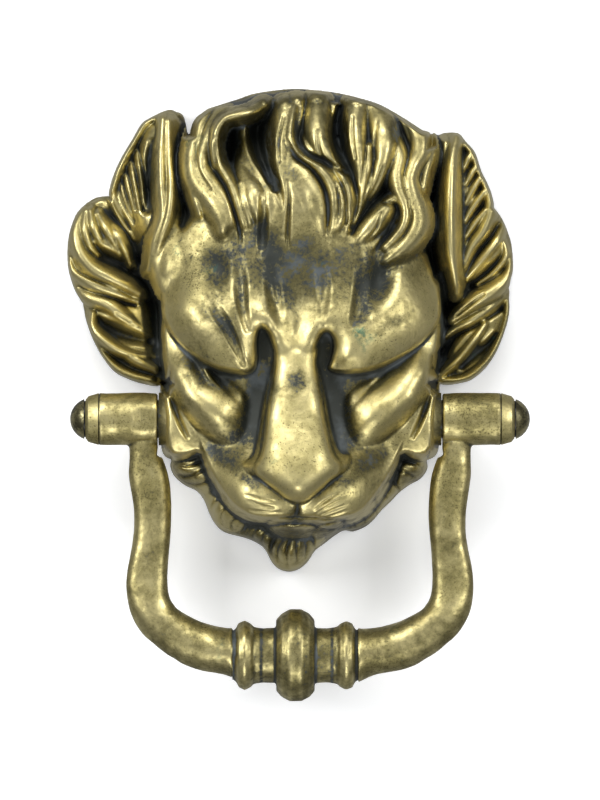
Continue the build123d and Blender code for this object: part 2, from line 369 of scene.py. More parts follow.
SIDES = [(-46, 48), (-46.6, 34), (-46, 18), (-45.9, 8), (-45.9, -4), (-45.6, -9), (-44.4, -12.2), (-41, -14),
         (-30, -20), (0, -20), (30, -20), (41, -14), (44.4, -12.2), (45.6, -9), (45.9, -4), (45.9, 8),
         (46, 18), (47, 34), (46.5, 46), (0, 60)]
BEARD = [(-38, 0), (-42.4, -10), (-42.2, -13), (-42.6, -15.5), (-41.3, -18.8), (-38, -21.7), (-34, -23.7),
         (-32, -26), (-31, -28), (-29.6, -31.5), (-27.5, -35), (-24.4, -37.4), (-17.5, -39.3), (-13.3, -41.3),
         (-11.2, -43.4), (-9.3, -47), (-7, -49.3), (-3.5, -50.2), (-0.3, -49.3), (2.5, -47), (4.9, -43.4),
         (8, -41), (11.5, -38.3), (14.5, -36.7), (17.5, -37), (21.5, -35.4), (24.3, -33), (27, -29.8),
         (30, -27), (32.5, -24.3), (36, -21.7), (39.5, -19.7), (41.8, -16.5), (41.6, -13), (42, -10), (38, 0),
         (0, 6)]
# the core joins the others across their shared borders
CORE = [(-37, 93), (-42, 96), (-52, 80), (-55, 66), (-60, 55), (-60, 40), (-56, 25), (-48, 16), (-44, 8),
        (-40, -6), (-30, -20), (0, -36), (26, -22), (38, -8), (43, 8), (50, 16), (58, 25), (60, 40), (60, 52),
        (54, 68), (52, 80), (46, 90), (40, 90), (30, 98), (0, 103), (-28, 97)]
LOBES = (LEFT_LOBE_1, LEFT_LOBE_2, RIGHT_LOBE_1, RIGHT_LOBE_2)
SILHOUETTE = (LEFT_EAR, RIGHT_EAR, *LOBES, HEAD, SIDES, BEARD, CORE)


def rimmed(points, h):
    """An outline at one height."""
    return [(x, z, h) for x, z in points]


def lobes(r):
    """The smooth masses of the mane, two on each side."""
    r.form(rimmed(LEFT_LOBE_1, 8), [(-68, 60, 17), (-58, 52, 15), (-46, 40, 8)], 3, 3)
    r.form(rimmed(LEFT_LOBE_2, 7), [(-64, 32, 13), (-54, 26, 13), (-45, 20, 9)], 3, 3)
    r.form(rimmed(RIGHT_LOBE_1, 8), [(64, 58, 15), (58, 48, 15), (47, 38, 8)], 3, 3)
    r.form(rimmed(RIGHT_LOBE_2, 7), [(62, 34, 12), (54, 24, 13), (45, 20, 9)], 3, 3)


def left_mane(r):
    """The strands on the two left lobes."""
    # shadowed hub beside the face, and the long hollow of the upper lobe
    r.groove([(-50, 62, 5, 5), (-49, 48, 7, 5), (-47.5, 36, 7, 4.5), (-47, 24, 5, 4)])
    r.groove([(-65, 68.5, 2, 3), (-60, 64, 5, 3.5), (-55, 58, 6, 3.5), (-51, 51, 5, 3)])
    r.groove([(-67, 55.5, 3, 2.5), (-62, 51.5, 6.5, 4), (-56, 47.5, 7, 4), (-51, 43, 4, 3)])
    # strands of the upper lobe
    r.ridge([(-70.5, 68.5, 14, 1), (-73, 62, 18, 2), (-72, 55, 20, 2.4), (-68, 49.5, 20.5, 2.6),
             (-62, 46, 20.5, 2.4), (-56.5, 43.3, 18.5, 2.1), (-52.5, 41, 15.5, 1.2)], 1.3)
    r.ridge([(-70, 68, 15, 1), (-70.3, 62, 19, 1.6), (-68.5, 56.5, 18.5, 1.2), (-66, 53.5, 16, 0.6)], 1.3)
    r.ridge([(-68.5, 68, 16, 1), (-67.5, 63, 19.5, 1.5), (-65, 58, 18.5, 1.3), (-62.5, 55, 15, 0.6)], 1.3)
    r.ridge([(-66, 67, 16, 1), (-63.5, 62.5, 19.5, 1.6), (-60.8, 58, 18.5, 1.4), (-59, 53.5, 15, 0.6)], 1.3)
    r.ridge([(-62.5, 64, 15, 1), (-59.5, 60, 19, 1.5), (-57, 55, 18, 1.4), (-55.5, 50.5, 14.5, 0.7)], 1.3)
    # its lower band, with two fine cuts
    r.ridge([(-75.5, 57, 13, 1.5), (-74, 50, 16.5, 2.6), (-70, 46, 17.5, 3), (-64.5, 43, 17.5, 3),
             (-58, 40.5, 16, 2.4), (-53, 38.5, 13, 1.2)], 1.1)
    r.groove([(-75, 53, 1.5, 0.8), (-72.5, 48.3, 2, 0.8), (-66, 45, 1.8, 0.7), (-60, 43.4, 1, 0.5)])
    r.groove([(-59, 42.3, 1.2, 0.5), (-54.5, 39.6, 1.2, 0.5)])
    r.groove([(-74.5, 46, 2, 0.9), (-70, 42, 2.6, 1.1), (-63, 39.8, 2.6, 1.2), (-54, 37.2, 2, 1)])
    # lower lobe: upper band, hollow leaf, bright lip, outer roll
    r.ridge([(-73, 43, 10, 1.5), (-69, 40, 14, 2.4), (-63, 37.5, 16, 2.6), (-58, 33.8, 16, 2.4),
             (-52, 30, 13, 1.4)], 1.1)
    r.groove([(-60, 34.5, 1, 0.5), (-55.5, 31.7, 1.2, 0.5)])
    r.groove([(-66.5, 32.5, 3, 2), (-62, 29.5, 5.5, 3.4), (-56, 27, 5.5, 3.4), (-50, 25.5, 4, 2.6)])
    r.ridge([(-67.7, 34.5, 12.5, 1.1), (-67.8, 30.5, 15.5, 1.3), (-65.5, 27, 17, 1.4), (-61, 23.5, 17.3, 1.5),
             (-56, 21.3, 16.3, 1.4), (-50.5, 20.3, 14, 1.1)], 1.5)
    r.ridge([(-58, 21.5, 14.5, 1), (-53, 19.2, 16, 1.6), (-47.5, 16.5, 13.5, 1.1)], 1.2)
    r.groove([(-66.5, 23.5, 1.2, 0.8), (-62, 19, 2.4, 1), (-57, 16.3, 2.4, 1), (-48.5, 14.3, 1.6, 0.8)])
    r.ridge([(-69.6, 33, 9, 1.3), (-67, 25, 12, 1.7), (-62.5, 18.3, 13.5, 1.9), (-57, 14.8, 13, 1.7),
             (-49, 12.7, 11.5, 1.3)], 1.1)


def right_mane(r):
    """The strands on the two right lobes."""
    r.groove([(50, 46, 5, 4), (48.5, 36, 6.5, 4), (47, 26, 6, 4), (46.5, 18, 4, 3)])
    # between ear and mane
    r.groove([(66, 62, 3, 2), (60.5, 56, 5, 3), (55, 48, 4.5, 2.5)])
    r.ridge([(66.5, 63, 13, 1), (64, 58, 17, 1.6), (59, 51.5, 17.5, 1.7), (54, 45.5, 15, 1.3),
             (51.5, 41, 12, 0.8)], 1.3)
    r.groove([(68.5, 54.5, 3, 1.8), (63, 49, 4.6, 2.6), (56.5, 43.5, 4, 2)])
    r.ridge([(69.3, 54, 12, 1), (68, 47, 16, 1.6), (63, 41.8, 18.5, 2.6), (56, 37.6, 18, 2.8),
             (50, 32.5, 14, 1.6)], 1.2)
    r.ridge([(66, 60, 12, 0.8), (67.3, 53.5, 14.5, 1), (63.5, 48, 14, 0.9), (58, 44, 12.5, 0.7)], 1.3)
    r.groove([(60, 40.5, 1.4, 0.6), (55.5, 37.3, 2, 0.8), (51, 33.8, 1.4, 0.6)])
    r.groove([(66.5, 37, 3.4, 1.8), (61.5, 33.5, 3.4, 1.6)])
    r.groove([(58, 31.5, 3, 1.6), (52, 28.5, 5, 2.6), (47, 22, 4.5, 2.2)])
    r.ridge([(66.5, 40, 11, 1), (62, 36.7, 14.5, 1.8), (56, 32.3, 15.5, 1.6), (50.5, 29.4, 13, 1.2),
             (46.5, 26, 10, 0.8)], 1.2)
    r.ridge([(60.5, 31, 14, 1), (57, 26, 16.3, 1.4), (52, 19.8, 15.8, 1.4), (45, 13.8, 12, 1)], 1.5)
    r.groove([(64, 27, 2, 2), (59, 23, 4, 3), (53, 17.5, 3, 2)])
    r.ridge([(63, 29, 11, 0.8), (59.5, 25.7, 12.3, 0.9), (57.5, 25, 11, 0.6)], 1.2)
    r.ridge([(68.3, 41, 9, 1.2), (68, 31, 12, 1.7), (65.5, 23.8, 13.3, 1.8), (60, 17, 13.6, 1.8),
             (53.5, 12.9, 12.5, 1.4), (46.5, 12.6, 11, 1)], 1.1)


def left_ear(r):
    """The left ear with its comb of hair, and the leaf and ridges between it and the head."""
    r.form(rimmed(LEFT_EAR, 9), [(-48, 95, 20), (-51, 80, 22), (-49, 62, 22)], 3, 3)
    r.ridge([(-40.5, 100, 14, 1), (-49, 97.7, 18, 1.6), (-55, 90.5, 19, 1.8), (-59.7, 80.5, 18, 1.7),
             (-61.4, 73.5, 15, 1.2), (-58, 65, 14, 1), (-54, 59, 14, 1)], 1.0)
    # hollow behind the comb of hair
    r.groove([(-48, 90, 2, 2.2), (-48.2, 83, 6, 3), (-48.7, 76, 6.5, 3), (-50, 68, 3, 2.2)])
    r.grooves((
        [(-52.9, 89.3, 1.4, 0.6), (-51.5, 83, 3, 1), (-50, 75, 2.6, 0.9)],
        [(-55, 86, 1.4, 0.6), (-53.4, 80, 3, 1), (-51.2, 68, 2.4, 0.9)],
        [(-57, 82.5, 1.2, 0.6), (-55.3, 77, 2.6, 0.9), (-53.3, 68, 2, 0.8)],
        [(-58.5, 79.5, 1.2, 0.6), (-56.6, 73, 2.8, 1), (-53.8, 64.6, 2, 0.8)],
        [(-59.3, 76.7, 1.2, 0.5), (-57.5, 70.5, 2.2, 0.8), (-54, 63.5, 1.6, 0.6)],
        [(-61.3, 73.6, 1.2, 0.5), (-59.8, 69, 1.8, 0.7), (-55.4, 62, 1.4, 0.6)],
    ))
    # the smooth inner leaf, then the two rolled ridges
    r.form([(-40, 82, 26), (-37.5, 74, 26), (-36, 67, 27), (-37, 60.5, 28), (-42, 54, 28), (-46.5, 49, 27),
            (-45, 60, 26), (-42.5, 72, 25)], [(-40, 72, 29.5), (-41, 62, 31)], 2, 2)
    r.ridge([(-44.6, 97.5, 25, 1.2), (-45, 88, 29.5, 1.6), (-44.8, 77, 32, 1.9), (-44.2, 66, 33, 2),
             (-47, 57.5, 31.5, 1.8), (-49, 48.5, 27, 1)], 1.4)
    r.ridge([(-42.8, 97, 25, 1), (-42.5, 86, 30, 1.3), (-41.7, 75.5, 33.5, 1.6), (-42.4, 66.5, 34.5, 1.8),
             (-45, 58.5, 33, 1.6), (-48, 49.5, 28, 0.9)], 1.4)


def right_ear(r):
    """The right ear, whose strands stand up, and its rolled ridge."""
    r.form(rimmed(RIGHT_EAR, 9), [(51, 88, 20), (54, 74, 21), (51, 56, 21)], 3, 3)
    r.groove([(53, 86, 0.8, 2), (54.5, 78, 1.4, 3), (53, 70, 1.6, 3), (51.5, 61, 1.4, 2.4)])
    r.ridge([(52.5, 91.5, 18, 1), (57, 86.5, 21, 1.9), (61, 78, 21.5, 2.1), (62.3, 70, 20.5, 2),
             (60, 62, 20, 1.9), (55.5, 55.5, 19.5, 1.8), (52.5, 47.5, 18, 1.4), (52, 42.5, 15, 0.9)], 1.2)
    r.ridges((
        [(52.6, 80, 19.5, 0.8), (54.6, 84.5, 21, 0.9), (56.4, 87.5, 20, 0.6)],
        [(52.2, 74, 19, 0.8), (55.3, 79, 20.5, 0.9), (58, 83.5, 20, 0.6)],
        [(52, 67, 18.5, 0.9), (55.5, 73.5, 20.5, 1), (59, 79, 20.5, 0.7)],
        [(52, 61, 18, 0.9), (55, 67, 20, 1), (60, 74, 20.5, 0.8)],
        [(52.5, 57, 18, 0.8), (56, 62.5, 19.5, 0.9), (60.5, 68, 20, 0.7)],
    ), 0.9, 0.5)
    # rolled ridge on the side of the hair
    r.ridge([(51.5, 93, 22, 1.2), (49.5, 85, 28, 2), (48.8, 75, 31, 2.3), (48.6, 64, 31.5, 2.4),
             (49, 54, 30, 2.2), (50.5, 45, 26, 1.4), (51, 41, 22, 0.8)], 1.4)
    r.ridge([(47.5, 90, 22, 1), (46.7, 80, 26, 1.5), (46, 70, 27, 1.6), (46.4, 60, 27, 1.6),
             (48, 50, 26, 1.4)], 1.4)


def beard(r):
    """The tufts along the jaw and the chin, each with its crest and strands."""
    r.form(rimmed(BEARD, 9), [(-34, -14, 19), (-20, -28, 23), (-4, -40, 22), (12, -30, 23),
                              (34, -14, 19)], 3, 3)
    tufts = (
        [(-41.6, -12, 9), (-42.2, -18, 9), (-38.4, -21.9, 9), (-32, -25, 10), (-27, -24, 16), (-30, -12, 19)],
        [(-31.8, -24, 9), (-30.4, -31, 9), (-27.7, -35.2, 9), (-23, -38, 9), (-17.5, -39.2, 10),
         (-14, -34, 18), (-24, -22, 18)],
        [(-19, -38.8, 9), (-14, -41.2, 9), (-10.4, -44.6, 9), (-8, -38, 18), (-13, -34, 19)],
        [(-11.6, -43, 9), (-9.5, -47.1, 8), (-6.7, -49.8, 8), (-3, -50.3, 8), (0.6, -48.9, 8),
         (4.2, -45.2, 8), (6.5, -41, 11), (2, -36.5, 20), (-8, -36.5, 20)],
        [(4.5, -43.6, 9), (9, -40.7, 9), (14.4, -37, 9), (14, -33, 18), (3, -36, 19)],
        [(13.5, -36.8, 9), (17.5, -37.2, 9), (22, -35.4, 9), (27, -31, 9), (25, -26, 16), (15, -31, 19)],
        [(25, -32, 9), (29, -28.2, 9), (33, -24.4, 9), (32, -19, 14), (25, -23, 18)],
        [(31, -25.8, 9), (36, -22.2, 9), (40.6, -19.6, 9), (41.8, -16, 9), (41.4, -12, 11), (34, -11, 18)],
    )
    crests = (
        [(-40, -15.5, 17), (-33, -20, 19)],
        [(-28, -30, 17.5), (-21, -34.5, 18)],
        [(-14.5, -38.5, 17), (-12, -40.5, 16)],
        [(-6.5, -43, 18.5), (-2.5, -44.5, 19), (2, -42, 17)],
        [(6, -39.5, 17.5), (11, -37, 17)],
        [(17, -34, 18.5), (22.5, -31, 17)],
        [(28, -26.5, 17), (31, -23.5, 16)],
        [(34.5, -18.5, 19), (39.5, -15.5, 17)],
    )
    for rim, crest in zip(tufts, crests):
        r.form(rim, crest, 2.2, 3.2)
    r.grooves((
        # each lock's strands, from the jaw outwards
        [(-31, -16.5, 1.6, 0.9), (-36, -18.6, 1.8, 0.9), (-41.4, -18.2, 0.6, 0.6)],
        [(-29.5, -20, 1.4, 0.8), (-34, -21.5, 1.6, 0.8), (-38.4, -20.8, 0.5, 0.6)],
        [(-31.5, -13.5, 1.4, 0.8), (-36.5, -15.2, 1.6, 0.8), (-41.5, -14.6, 0.5, 0.6)],
        [(-26.5, -25.5, 1.4, 0.7), (-28.6, -29, 1.8, 0.8), (-28.6, -33.4, 0.8, 0.6)],
        [(-24, -28.5, 1.4, 0.7), (-25.8, -31.5, 1.8, 0.8), (-25.4, -35.4, 0.8, 0.6)],
        [(-20.6, -32, 1.3, 0.7), (-22.4, -34, 1.7, 0.8), (-22, -37.2, 0.8, 0.6)],
        [(-17, -34.4, 1.8, 0.9), (-18.6, -36.6, 2.6, 1.2), (-19.4, -38.6, 1, 0.9)],
        [(-14, -35.8, 1.2, 0.7), (-15.4, -38, 1.7, 0.8), (-15.2, -40.4, 0.7, 0.6)],
        [(-11, -37, 1.2, 0.7), (-12.4, -39.4, 1.7, 0.8), (-12, -42.4, 0.7, 0.6)],
        [(-8, -38.4, 1.6, 0.9), (-9.4, -41.4, 2.4, 1.1), (-9.6, -44.6, 1, 0.8)],
        [(-5.6, -39.6, 1.2, 0.7), (-7.2, -42.6, 1.8, 0.8), (-7.2, -46.6, 0.8, 0.6)],
        [(-3.4, -39.6, 1.4, 0.8), (-4.4, -43, 2.2, 1), (-4, -48.4, 0.9, 0.7)],
        [(-1, -39.8, 1.2, 0.7), (-1.2, -43, 1.8, 0.8), (-1, -47, 0.8, 0.6)],
        [(1.4, -39.4, 1.2, 0.7), (2, -42, 1.8, 0.8), (1.8, -45.4, 0.8, 0.6)],
        [(4, -38.6, 1.6, 0.9), (4.8, -41, 2.2, 1), (5.2, -43.2, 1, 0.8)],
        [(8, -37.4, 1.2, 0.7), (8.6, -39.2, 1.6, 0.7), (8.2, -41, 0.6, 0.6)],
        [(12.4, -35.6, 1.2, 0.7), (13, -37, 1.4, 0.7)],
        [(17.4, -33.4, 1.2, 0.7), (18, -35, 1.5, 0.7), (17.6, -36.8, 0.6, 0.5)],
        [(20.6, -32, 1.2, 0.7), (21.4, -33.6, 1.5, 0.7), (21, -35.4, 0.6, 0.5)],
        [(24, -29.4, 1.6, 0.8), (25.4, -31, 2, 0.9), (25.4, -32.4, 0.8, 0.6)],
        [(27.5, -25, 1.2, 0.7), (29.2, -26.2, 1.5, 0.7), (30, -27.2, 0.6, 0.5)],
        [(30.5, -20.5, 1.6, 0.8), (32.4, -23, 2, 0.9), (33, -24.6, 0.8, 0.6)],
        [(32, -16.4, 1.4, 0.8), (36.6, -18.4, 1.7, 0.8), (39.4, -20.4, 0.6, 0.6)],
        [(33, -13.4, 1.4, 0.8), (38, -14.8, 1.7, 0.8), (41.8, -17, 0.6, 0.6)],
    ))
    r.melt(-25, -30, 12, 9, 1)
    r.melt(22, -32, 12, 8, 1)


def head(r):
    """The hair's mass and the face below the brows."""
    crown = [(-35.5, 93, 26), (-28.4, 98.4, 28), (-14, 103.2, 30), (0, 104.8, 30), (14, 103.2, 30),
             (27.6, 98.4, 28), (37.4, 92.4, 26), (40, 80, 27), (41, 62, 28), (43, 46, 26), (20, 44, 36),
             (0, 44, 38), (-20, 44, 36), (-43, 46, 26), (-39, 62, 28), (-37, 80, 27)]
    r.form(rimmed(HEAD, 14), [(-22, 92, 30), (0, 97, 32), (24, 92, 30), (-26, 60, 33), (26, 60, 33)], 3, 3)
    r.form(crown, [(-24, 90, 32), (0, 94, 34), (24, 90, 32), (-24, 72, 37), (-4, 78, 38), (-4, 64, 40),
                   (22, 72, 38), (-32, 80, 32), (33, 80, 32), (24, 58, 38), (-22, 58, 38), (0, 86, 36)], 2, 1)
    jaw = [(-46, 46, 24), (-46.3, 36, 26), (-46, 22, 28), (-44.6, 12, 30), (-41.6, 4.4, 32),
           (-38, -1.5, 33.5), (-34.8, -7.2, 34.5), (-32.6, -13, 35.5), (-30.2, -19, 37.5),
           (-27.2, -24.6, 39.8), (-23.6, -29.4, 42), (-19.2, -32.8, 43.6), (-15.2, -34.4, 44.6),
           (-9.6, -34.8, 45.6), (-4, -33.8, 46), (3, -34.2, 45.6), (8.5, -35.6, 45), (14.5, -35.3, 44),
           (19, -33.9, 43.2), (23.3, -31, 42), (26.4, -27.3, 40.4), (29.4, -22, 38.4), (31.8, -16.6, 36.6),
           (34.4, -10, 35), (38.2, -4, 33.4), (41.6, 2.6, 32), (44.6, 11, 30), (46.3, 24, 28), (47, 36, 26),
           (46, 46, 24), (34, 58, 30), (0, 62, 36), (-33, 58, 30)]
    deep = [(-40, 28, 32), (-33, 20, 34.5), (-26, 15, 36), (-19, 11.5, 36.5), (-14, 10, 37.5),
            (-12.5, 18, 41), (-14.8, 0, 38), (-17, -6, 39.5), (-19, -10, 41), (-37, 1, 33), (-31, -9.5, 34.6),
            (-26, -11, 38), (0, 30, 42), (0, 5, 43), (0, -16, 46), (40, 28, 32), (33, 20, 34.5), (26, 15, 36),
            (18, 11.5, 36.5), (12, 10, 37.5), (8, 18, 41), (12, 0, 38), (14.4, -6, 39.5), (17, -10, 41),
            (38, 1, 33), (31, -10, 34.4), (25, -11, 38), (-20, 50, 36), (20, 50, 36), (-24.5, -17, 42.5),
            (-20, -20, 47.4), (-14.5, -25, 51.2), (-8, -28.4, 51.8), (-19, -29, 47.6), (-2, -30, 49),
            (24, -17, 42.6), (20.5, -20, 47), (15.5, -25, 51.2), (8, -28.6, 51.8), (20, -29, 47)]
    r.form(jaw, deep, 2.4, 2.6, soft=0.2)


def ruffs(r):
    """The two lugs that carry the pivot, shaped as curls below the mane."""
    for s in (-1, 1):
        r.form([(s * 47.4, 11, 30), (s * 47.6, 0, 31), (s * 47.2, -8, 31), (s * 45.4, -12.6, 31),
                (s * 41, -14, 31), (s * 35, -12.8, 32), (s * 29, -9, 33), (s * 27, -2, 33), (s * 31, 6, 33),
                (s * 39, 11, 33)], [(s * 42.4, 2, 34.6), (s * 41.5, -6, 34.4), (s * 34, -4, 34)], 2.0, 2.4)
        r.groove([(s * 42.6, 10, 1, 1), (s * 40.8, 4, 2.4, 1.3), (s * 38.6, -1.5, 2.4, 1.3),
                  (s * 36.4, -6, 1.2, 1)])


def forehead(r):
    """Both brows, the forehead and the top of the bridge, with the slots left open beside it."""
    rim = [(-46, 51, 28), (-46.4, 43, 30), (-46, 36, 33), (-43.8, 30.5, 36.5), (-40.5, 25.5, 39),
           (-36.2, 21, 41.5), (-31.5, 17.6, 43.5), (-26.5, 15.3, 45), (-21, 14.2, 45.8), (-16.6, 14.1, 46.2),
           (-14.2, 15.8, 46.5), (-13.4, 19.5, 46.5), (-13.6, 24, 46.5), (-13.1, 27.6, 46.6),
           (-12.1, 28.6, 46.7), (-10.6, 26.9, 46.8), (-9, 22.7, 47.2), (-7.8, 18.6, 47.8), (-8.2, 14, 48),
           (-4, 11, 49.5), (2, 11, 49.5), (6.2, 13, 48), (5, 17.4, 47.8), (5.2, 21.5, 47.3),
           (6.5, 25.2, 46.9), (8.2, 27.4, 46.7), (9.8, 26.6, 46.6), (10.6, 23.5, 46.5), (9.8, 19.5, 46.5),
           (8.9, 16.4, 46.5), (11, 14.7, 46.4), (16, 14.1, 46.2), (22.5, 14.9, 45.6), (29.3, 17.4, 44),
           (35.8, 21.2, 41.5), (41.4, 26, 39), (45, 31, 36.2), (46.4, 36, 33), (46, 41, 31), (44.6, 46, 30),
           (42, 51, 30), (39.6, 57, 31), (37, 63, 33), (32, 68, 36), (18, 70, 38), (0, 71, 39), (-20, 70, 38),
           (-32, 68, 36), (-38, 63, 33), (-43, 58, 30)]
    inner = [(-39, 35, 41.5), (-31, 29, 47), (-23.5, 24, 49.2), (-17.6, 19.6, 49.6), (-17.5, 28, 49),
             (-18.5, 38, 47.6), (-26, 38, 46), (-34, 45, 40.5), (-8, 37, 46.2), (-1, 34, 46), (5, 37, 46),
             (-5, 48, 44.6), (3, 46, 45), (0, 58, 44.2), (-20, 52, 43.6), (20, 52, 43.4), (39, 35, 41.5),
             (31, 29, 46.8), (23, 23.6, 49.2), (15, 19.6, 49.8), (13.6, 27, 49), (15.4, 37, 47.4),
             (26, 38, 45.6), (34, 45, 40.5), (-12, 32, 49.4), (-9.6, 28.4, 49.4), (-6.6, 24, 49.2),
             (8.2, 31.4, 49), (5.6, 28.4, 49), (3.6, 24, 49), (-1.6, 27.5, 46.9), (-1.2, 21, 48.6),
             (-1, 16, 50), (-30, 60, 38), (30, 60, 38)]
    r.form(rim, inner, 2.4, 2.2, soft=0.5)
    r.groove([(-20, 52, 0.4, 3), (-19.2, 44, 1.8, 3.2), (-18.4, 36, 1.9, 2.6), (-17, 29, 0.8, 1.8)])
    r.groove([(-29, 38, 0.4, 3), (-24.4, 31, 2.0, 2.8), (-20.4, 23.5, 1.8, 2), (-18.2, 17.5, 0.8, 1.2)])
    r.groove([(-24.6, 27.5, 0.3, 0.5), (-21.4, 22.5, 0.7, 0.6), (-19, 18.5, 0.3, 0.4)])
    r.groove([(-9.5, 50, 0.5, 3.4), (-8.6, 42, 2.0, 3.6), (-7.4, 35, 1.4, 3), (-6.4, 30, 0.4, 2)])
    r.groove([(6.4, 50, 0.4, 3), (7.6, 43, 1.4, 3.2), (7.4, 36, 1.0, 2.4), (7, 31, 0.3, 1.6)])
    r.groove([(19.5, 52, 0.4, 3), (19.8, 44, 1.6, 3.2), (18.6, 37, 1.4, 2.8), (17, 31, 0.4, 2)])
    r.swell(-26.5, 48.5, 4.2, 5.8, -3.6, 20)
    r.swell(25.5, 45, 4.2, 7, -5.4, -18)
    r.swell(19.5, 34, 2.6, 4.6, -1.6, -25)
    r.swell(31, 33, 2.4, 8, -0.9, -60)
    r.swell(20, 52, 3.4, 8, 1.6, 10)
    r.swell(-36, 38, 5, 8, 1.0, 30)
    # where the ear's ridges run out beside the brow
    r.ridge([(-40.5, 60, 31, 2.5), (-40.6, 54, 33, 3.6), (-40.6, 48, 35, 4)], 0.5, 1.4)
    r.ridge([(-46, 61, 28, 1.6), (-45.4, 55, 30, 3), (-44.4, 49, 31.4, 3.6), (-42.6, 43, 34, 3)], 0.7, 1.2)


def cheeks(r):
    """The cheeks below the brows, with the folds of the closed lids."""
    left = [(-45.2, 30, 29), (-45.5, 22, 29.5), (-44.4, 14, 31), (-42.6, 8, 32.6), (-39.6, 3, 34),
            (-36, -1.2, 35), (-32.2, -4.4, 36), (-28, -7.2, 37), (-24.2, -8.9, 37.8), (-20.8, -8.6, 39),
            (-18.2, -5, 39.4), (-17, 1, 38.6), (-17, 7, 38), (-20, 11.5, 37), (-25, 14.8, 36),
            (-31, 19, 34.6), (-36, 24, 33), (-41, 30, 31)]
    right = [(45.4, 30, 29), (45.6, 22, 29.5), (44.4, 14, 31), (42, 7.4, 32.6), (38.6, 2.6, 34),
             (34.2, -1.4, 35.4), (29.6, -5, 36.6), (25, -8, 37.6), (20.4, -9.6, 39), (17.4, -8.6, 39.6),
             (15.4, -4.6, 39.2), (14.4, 1, 38.6), (14.6, 7, 38), (18, 11.5, 37), (24, 14.8, 36),
             (30, 18.6, 34.6), (35.8, 23.6, 33), (41, 30, 31)]
    r.form(left, [(-40, 15, 37.4), (-37, 7, 40.2), (-32, 3.6, 42.6), (-27, 1.4, 43.2), (-22.5, -1, 41.6),
                  (-30, 12, 39)], 3.2, 1.6, soft=0.6, slope=2.6)
    r.form(right, [(40, 15, 37.4), (36.4, 6.6, 40), (30, 2.4, 42.4), (23.6, -0.6, 43.4), (18.6, -2.4, 41.4),
                   (28, 11, 39)], 3.2, 1.6, soft=0.6, slope=2.6)
    # folds of the closed lids
    r.ridge([(-33.4, 19.4, 36.4, 0.5), (-31, 16.6, 38.8, 0.8), (-28.6, 12.6, 40.2, 0.8),
             (-24.6, 8.8, 40, 0.6)], 0.9, 0.4)
    r.groove([(-29.5, 17.5, 0.4, 0.9), (-26.6, 13.6, 1.4, 1.2), (-22.5, 9, 1.2, 1.2), (-19, 5, 0.5, 1)])
    r.groove([(30, 17, 0.4, 0.9), (26, 13, 1.3, 1.3), (21, 8.6, 1.2, 1.2), (17, 4.6, 0.5, 1)])
    for s in (-1, 1):
        r.melt(s * 19 - 1, 2, 5, 9, 10)
        r.melt(s * 26, 14, 10, 4, 6, s * 30)
        r.melt(s * 27, -8, 10, 4, 8, s * 40)


def nose(r):
    """The bridge and nose: a broad body, then its rounded top."""
    body = [(-7.4, 25, 44), (-8.6, 20, 44), (-10.2, 14, 43.4), (-12, 7, 43), (-13.2, 0, 43.4), (-14, -6, 45),
            (-14.8, -10.8, 46.6), (-16.2, -12.6, 46), (-18.8, -13.4, 44.4), (-19.9, -15.6, 44),
            (-18, -18.2, 45.6), (-14.4, -20, 48.2), (-11.3, -21.6, 50), (-8.3, -24.1, 51),
            (-4.8, -26.7, 51.5), (-0.6, -27.8, 51.5), (3.2, -26.9, 51.5), (6.8, -24.4, 51), (10.6, -21, 49.8),
            (14, -18.4, 48), (16.9, -15.6, 44.6), (16.4, -11.8, 44.5), (13.4, -10.4, 46.6),
            (11.6, -6.6, 46.6), (10, 0, 44.6), (8.8, 7, 44), (7.4, 13, 44), (5.8, 18, 44), (5.4, 25, 44)]
    r.form(body, [(-1, 16, 49), (-1, 4, 51), (-1.4, -8, 54), (-1, -18, 57), (-15, -16, 51),
                  (13.4, -15, 51)], 2.6, 2.4, soft=0.4)
    top = [(-7.6, 24, 46.6), (-8.6, 17, 48.4), (-10.1, 9, 50.2), (-11.4, 1, 52.2), (-12.2, -6, 54),
           (-13.1, -11.6, 55.2), (-14.6, -14.6, 54.6), (-14.4, -17.8, 54.8), (-11.6, -20.4, 56.4),
           (-8, -23.2, 57.2), (-4.4, -25.8, 57), (-0.6, -26.9, 56.8), (2.9, -26, 57), (6.4, -23.4, 57.2),
           (9.8, -20.2, 56.4), (13, -17.4, 54.8), (13.2, -14, 54.6), (11.2, -11, 55.6), (9.8, -5.6, 54.4),
           (8.4, 1, 52.6), (7.2, 9, 50.6), (5.6, 17, 48.6), (5, 24, 46.6)]
    r.form(top, [(-1, 22, 49), (-1.2, 10, 52.6), (-1.2, -2, 56.2), (-0.8, -10, 59), (-0.6, -17, 61),
                 (-0.6, -22, 61.2), (-7.6, -16.5, 59.4), (6.6, -16.5, 59.4), (-6.8, -6, 56.8),
                 (5.4, -6, 56.8), (-5.6, 8, 52.6), (3.6, 8, 52.6)], 4.0, 2.8, soft=0.6, slope=5.0)


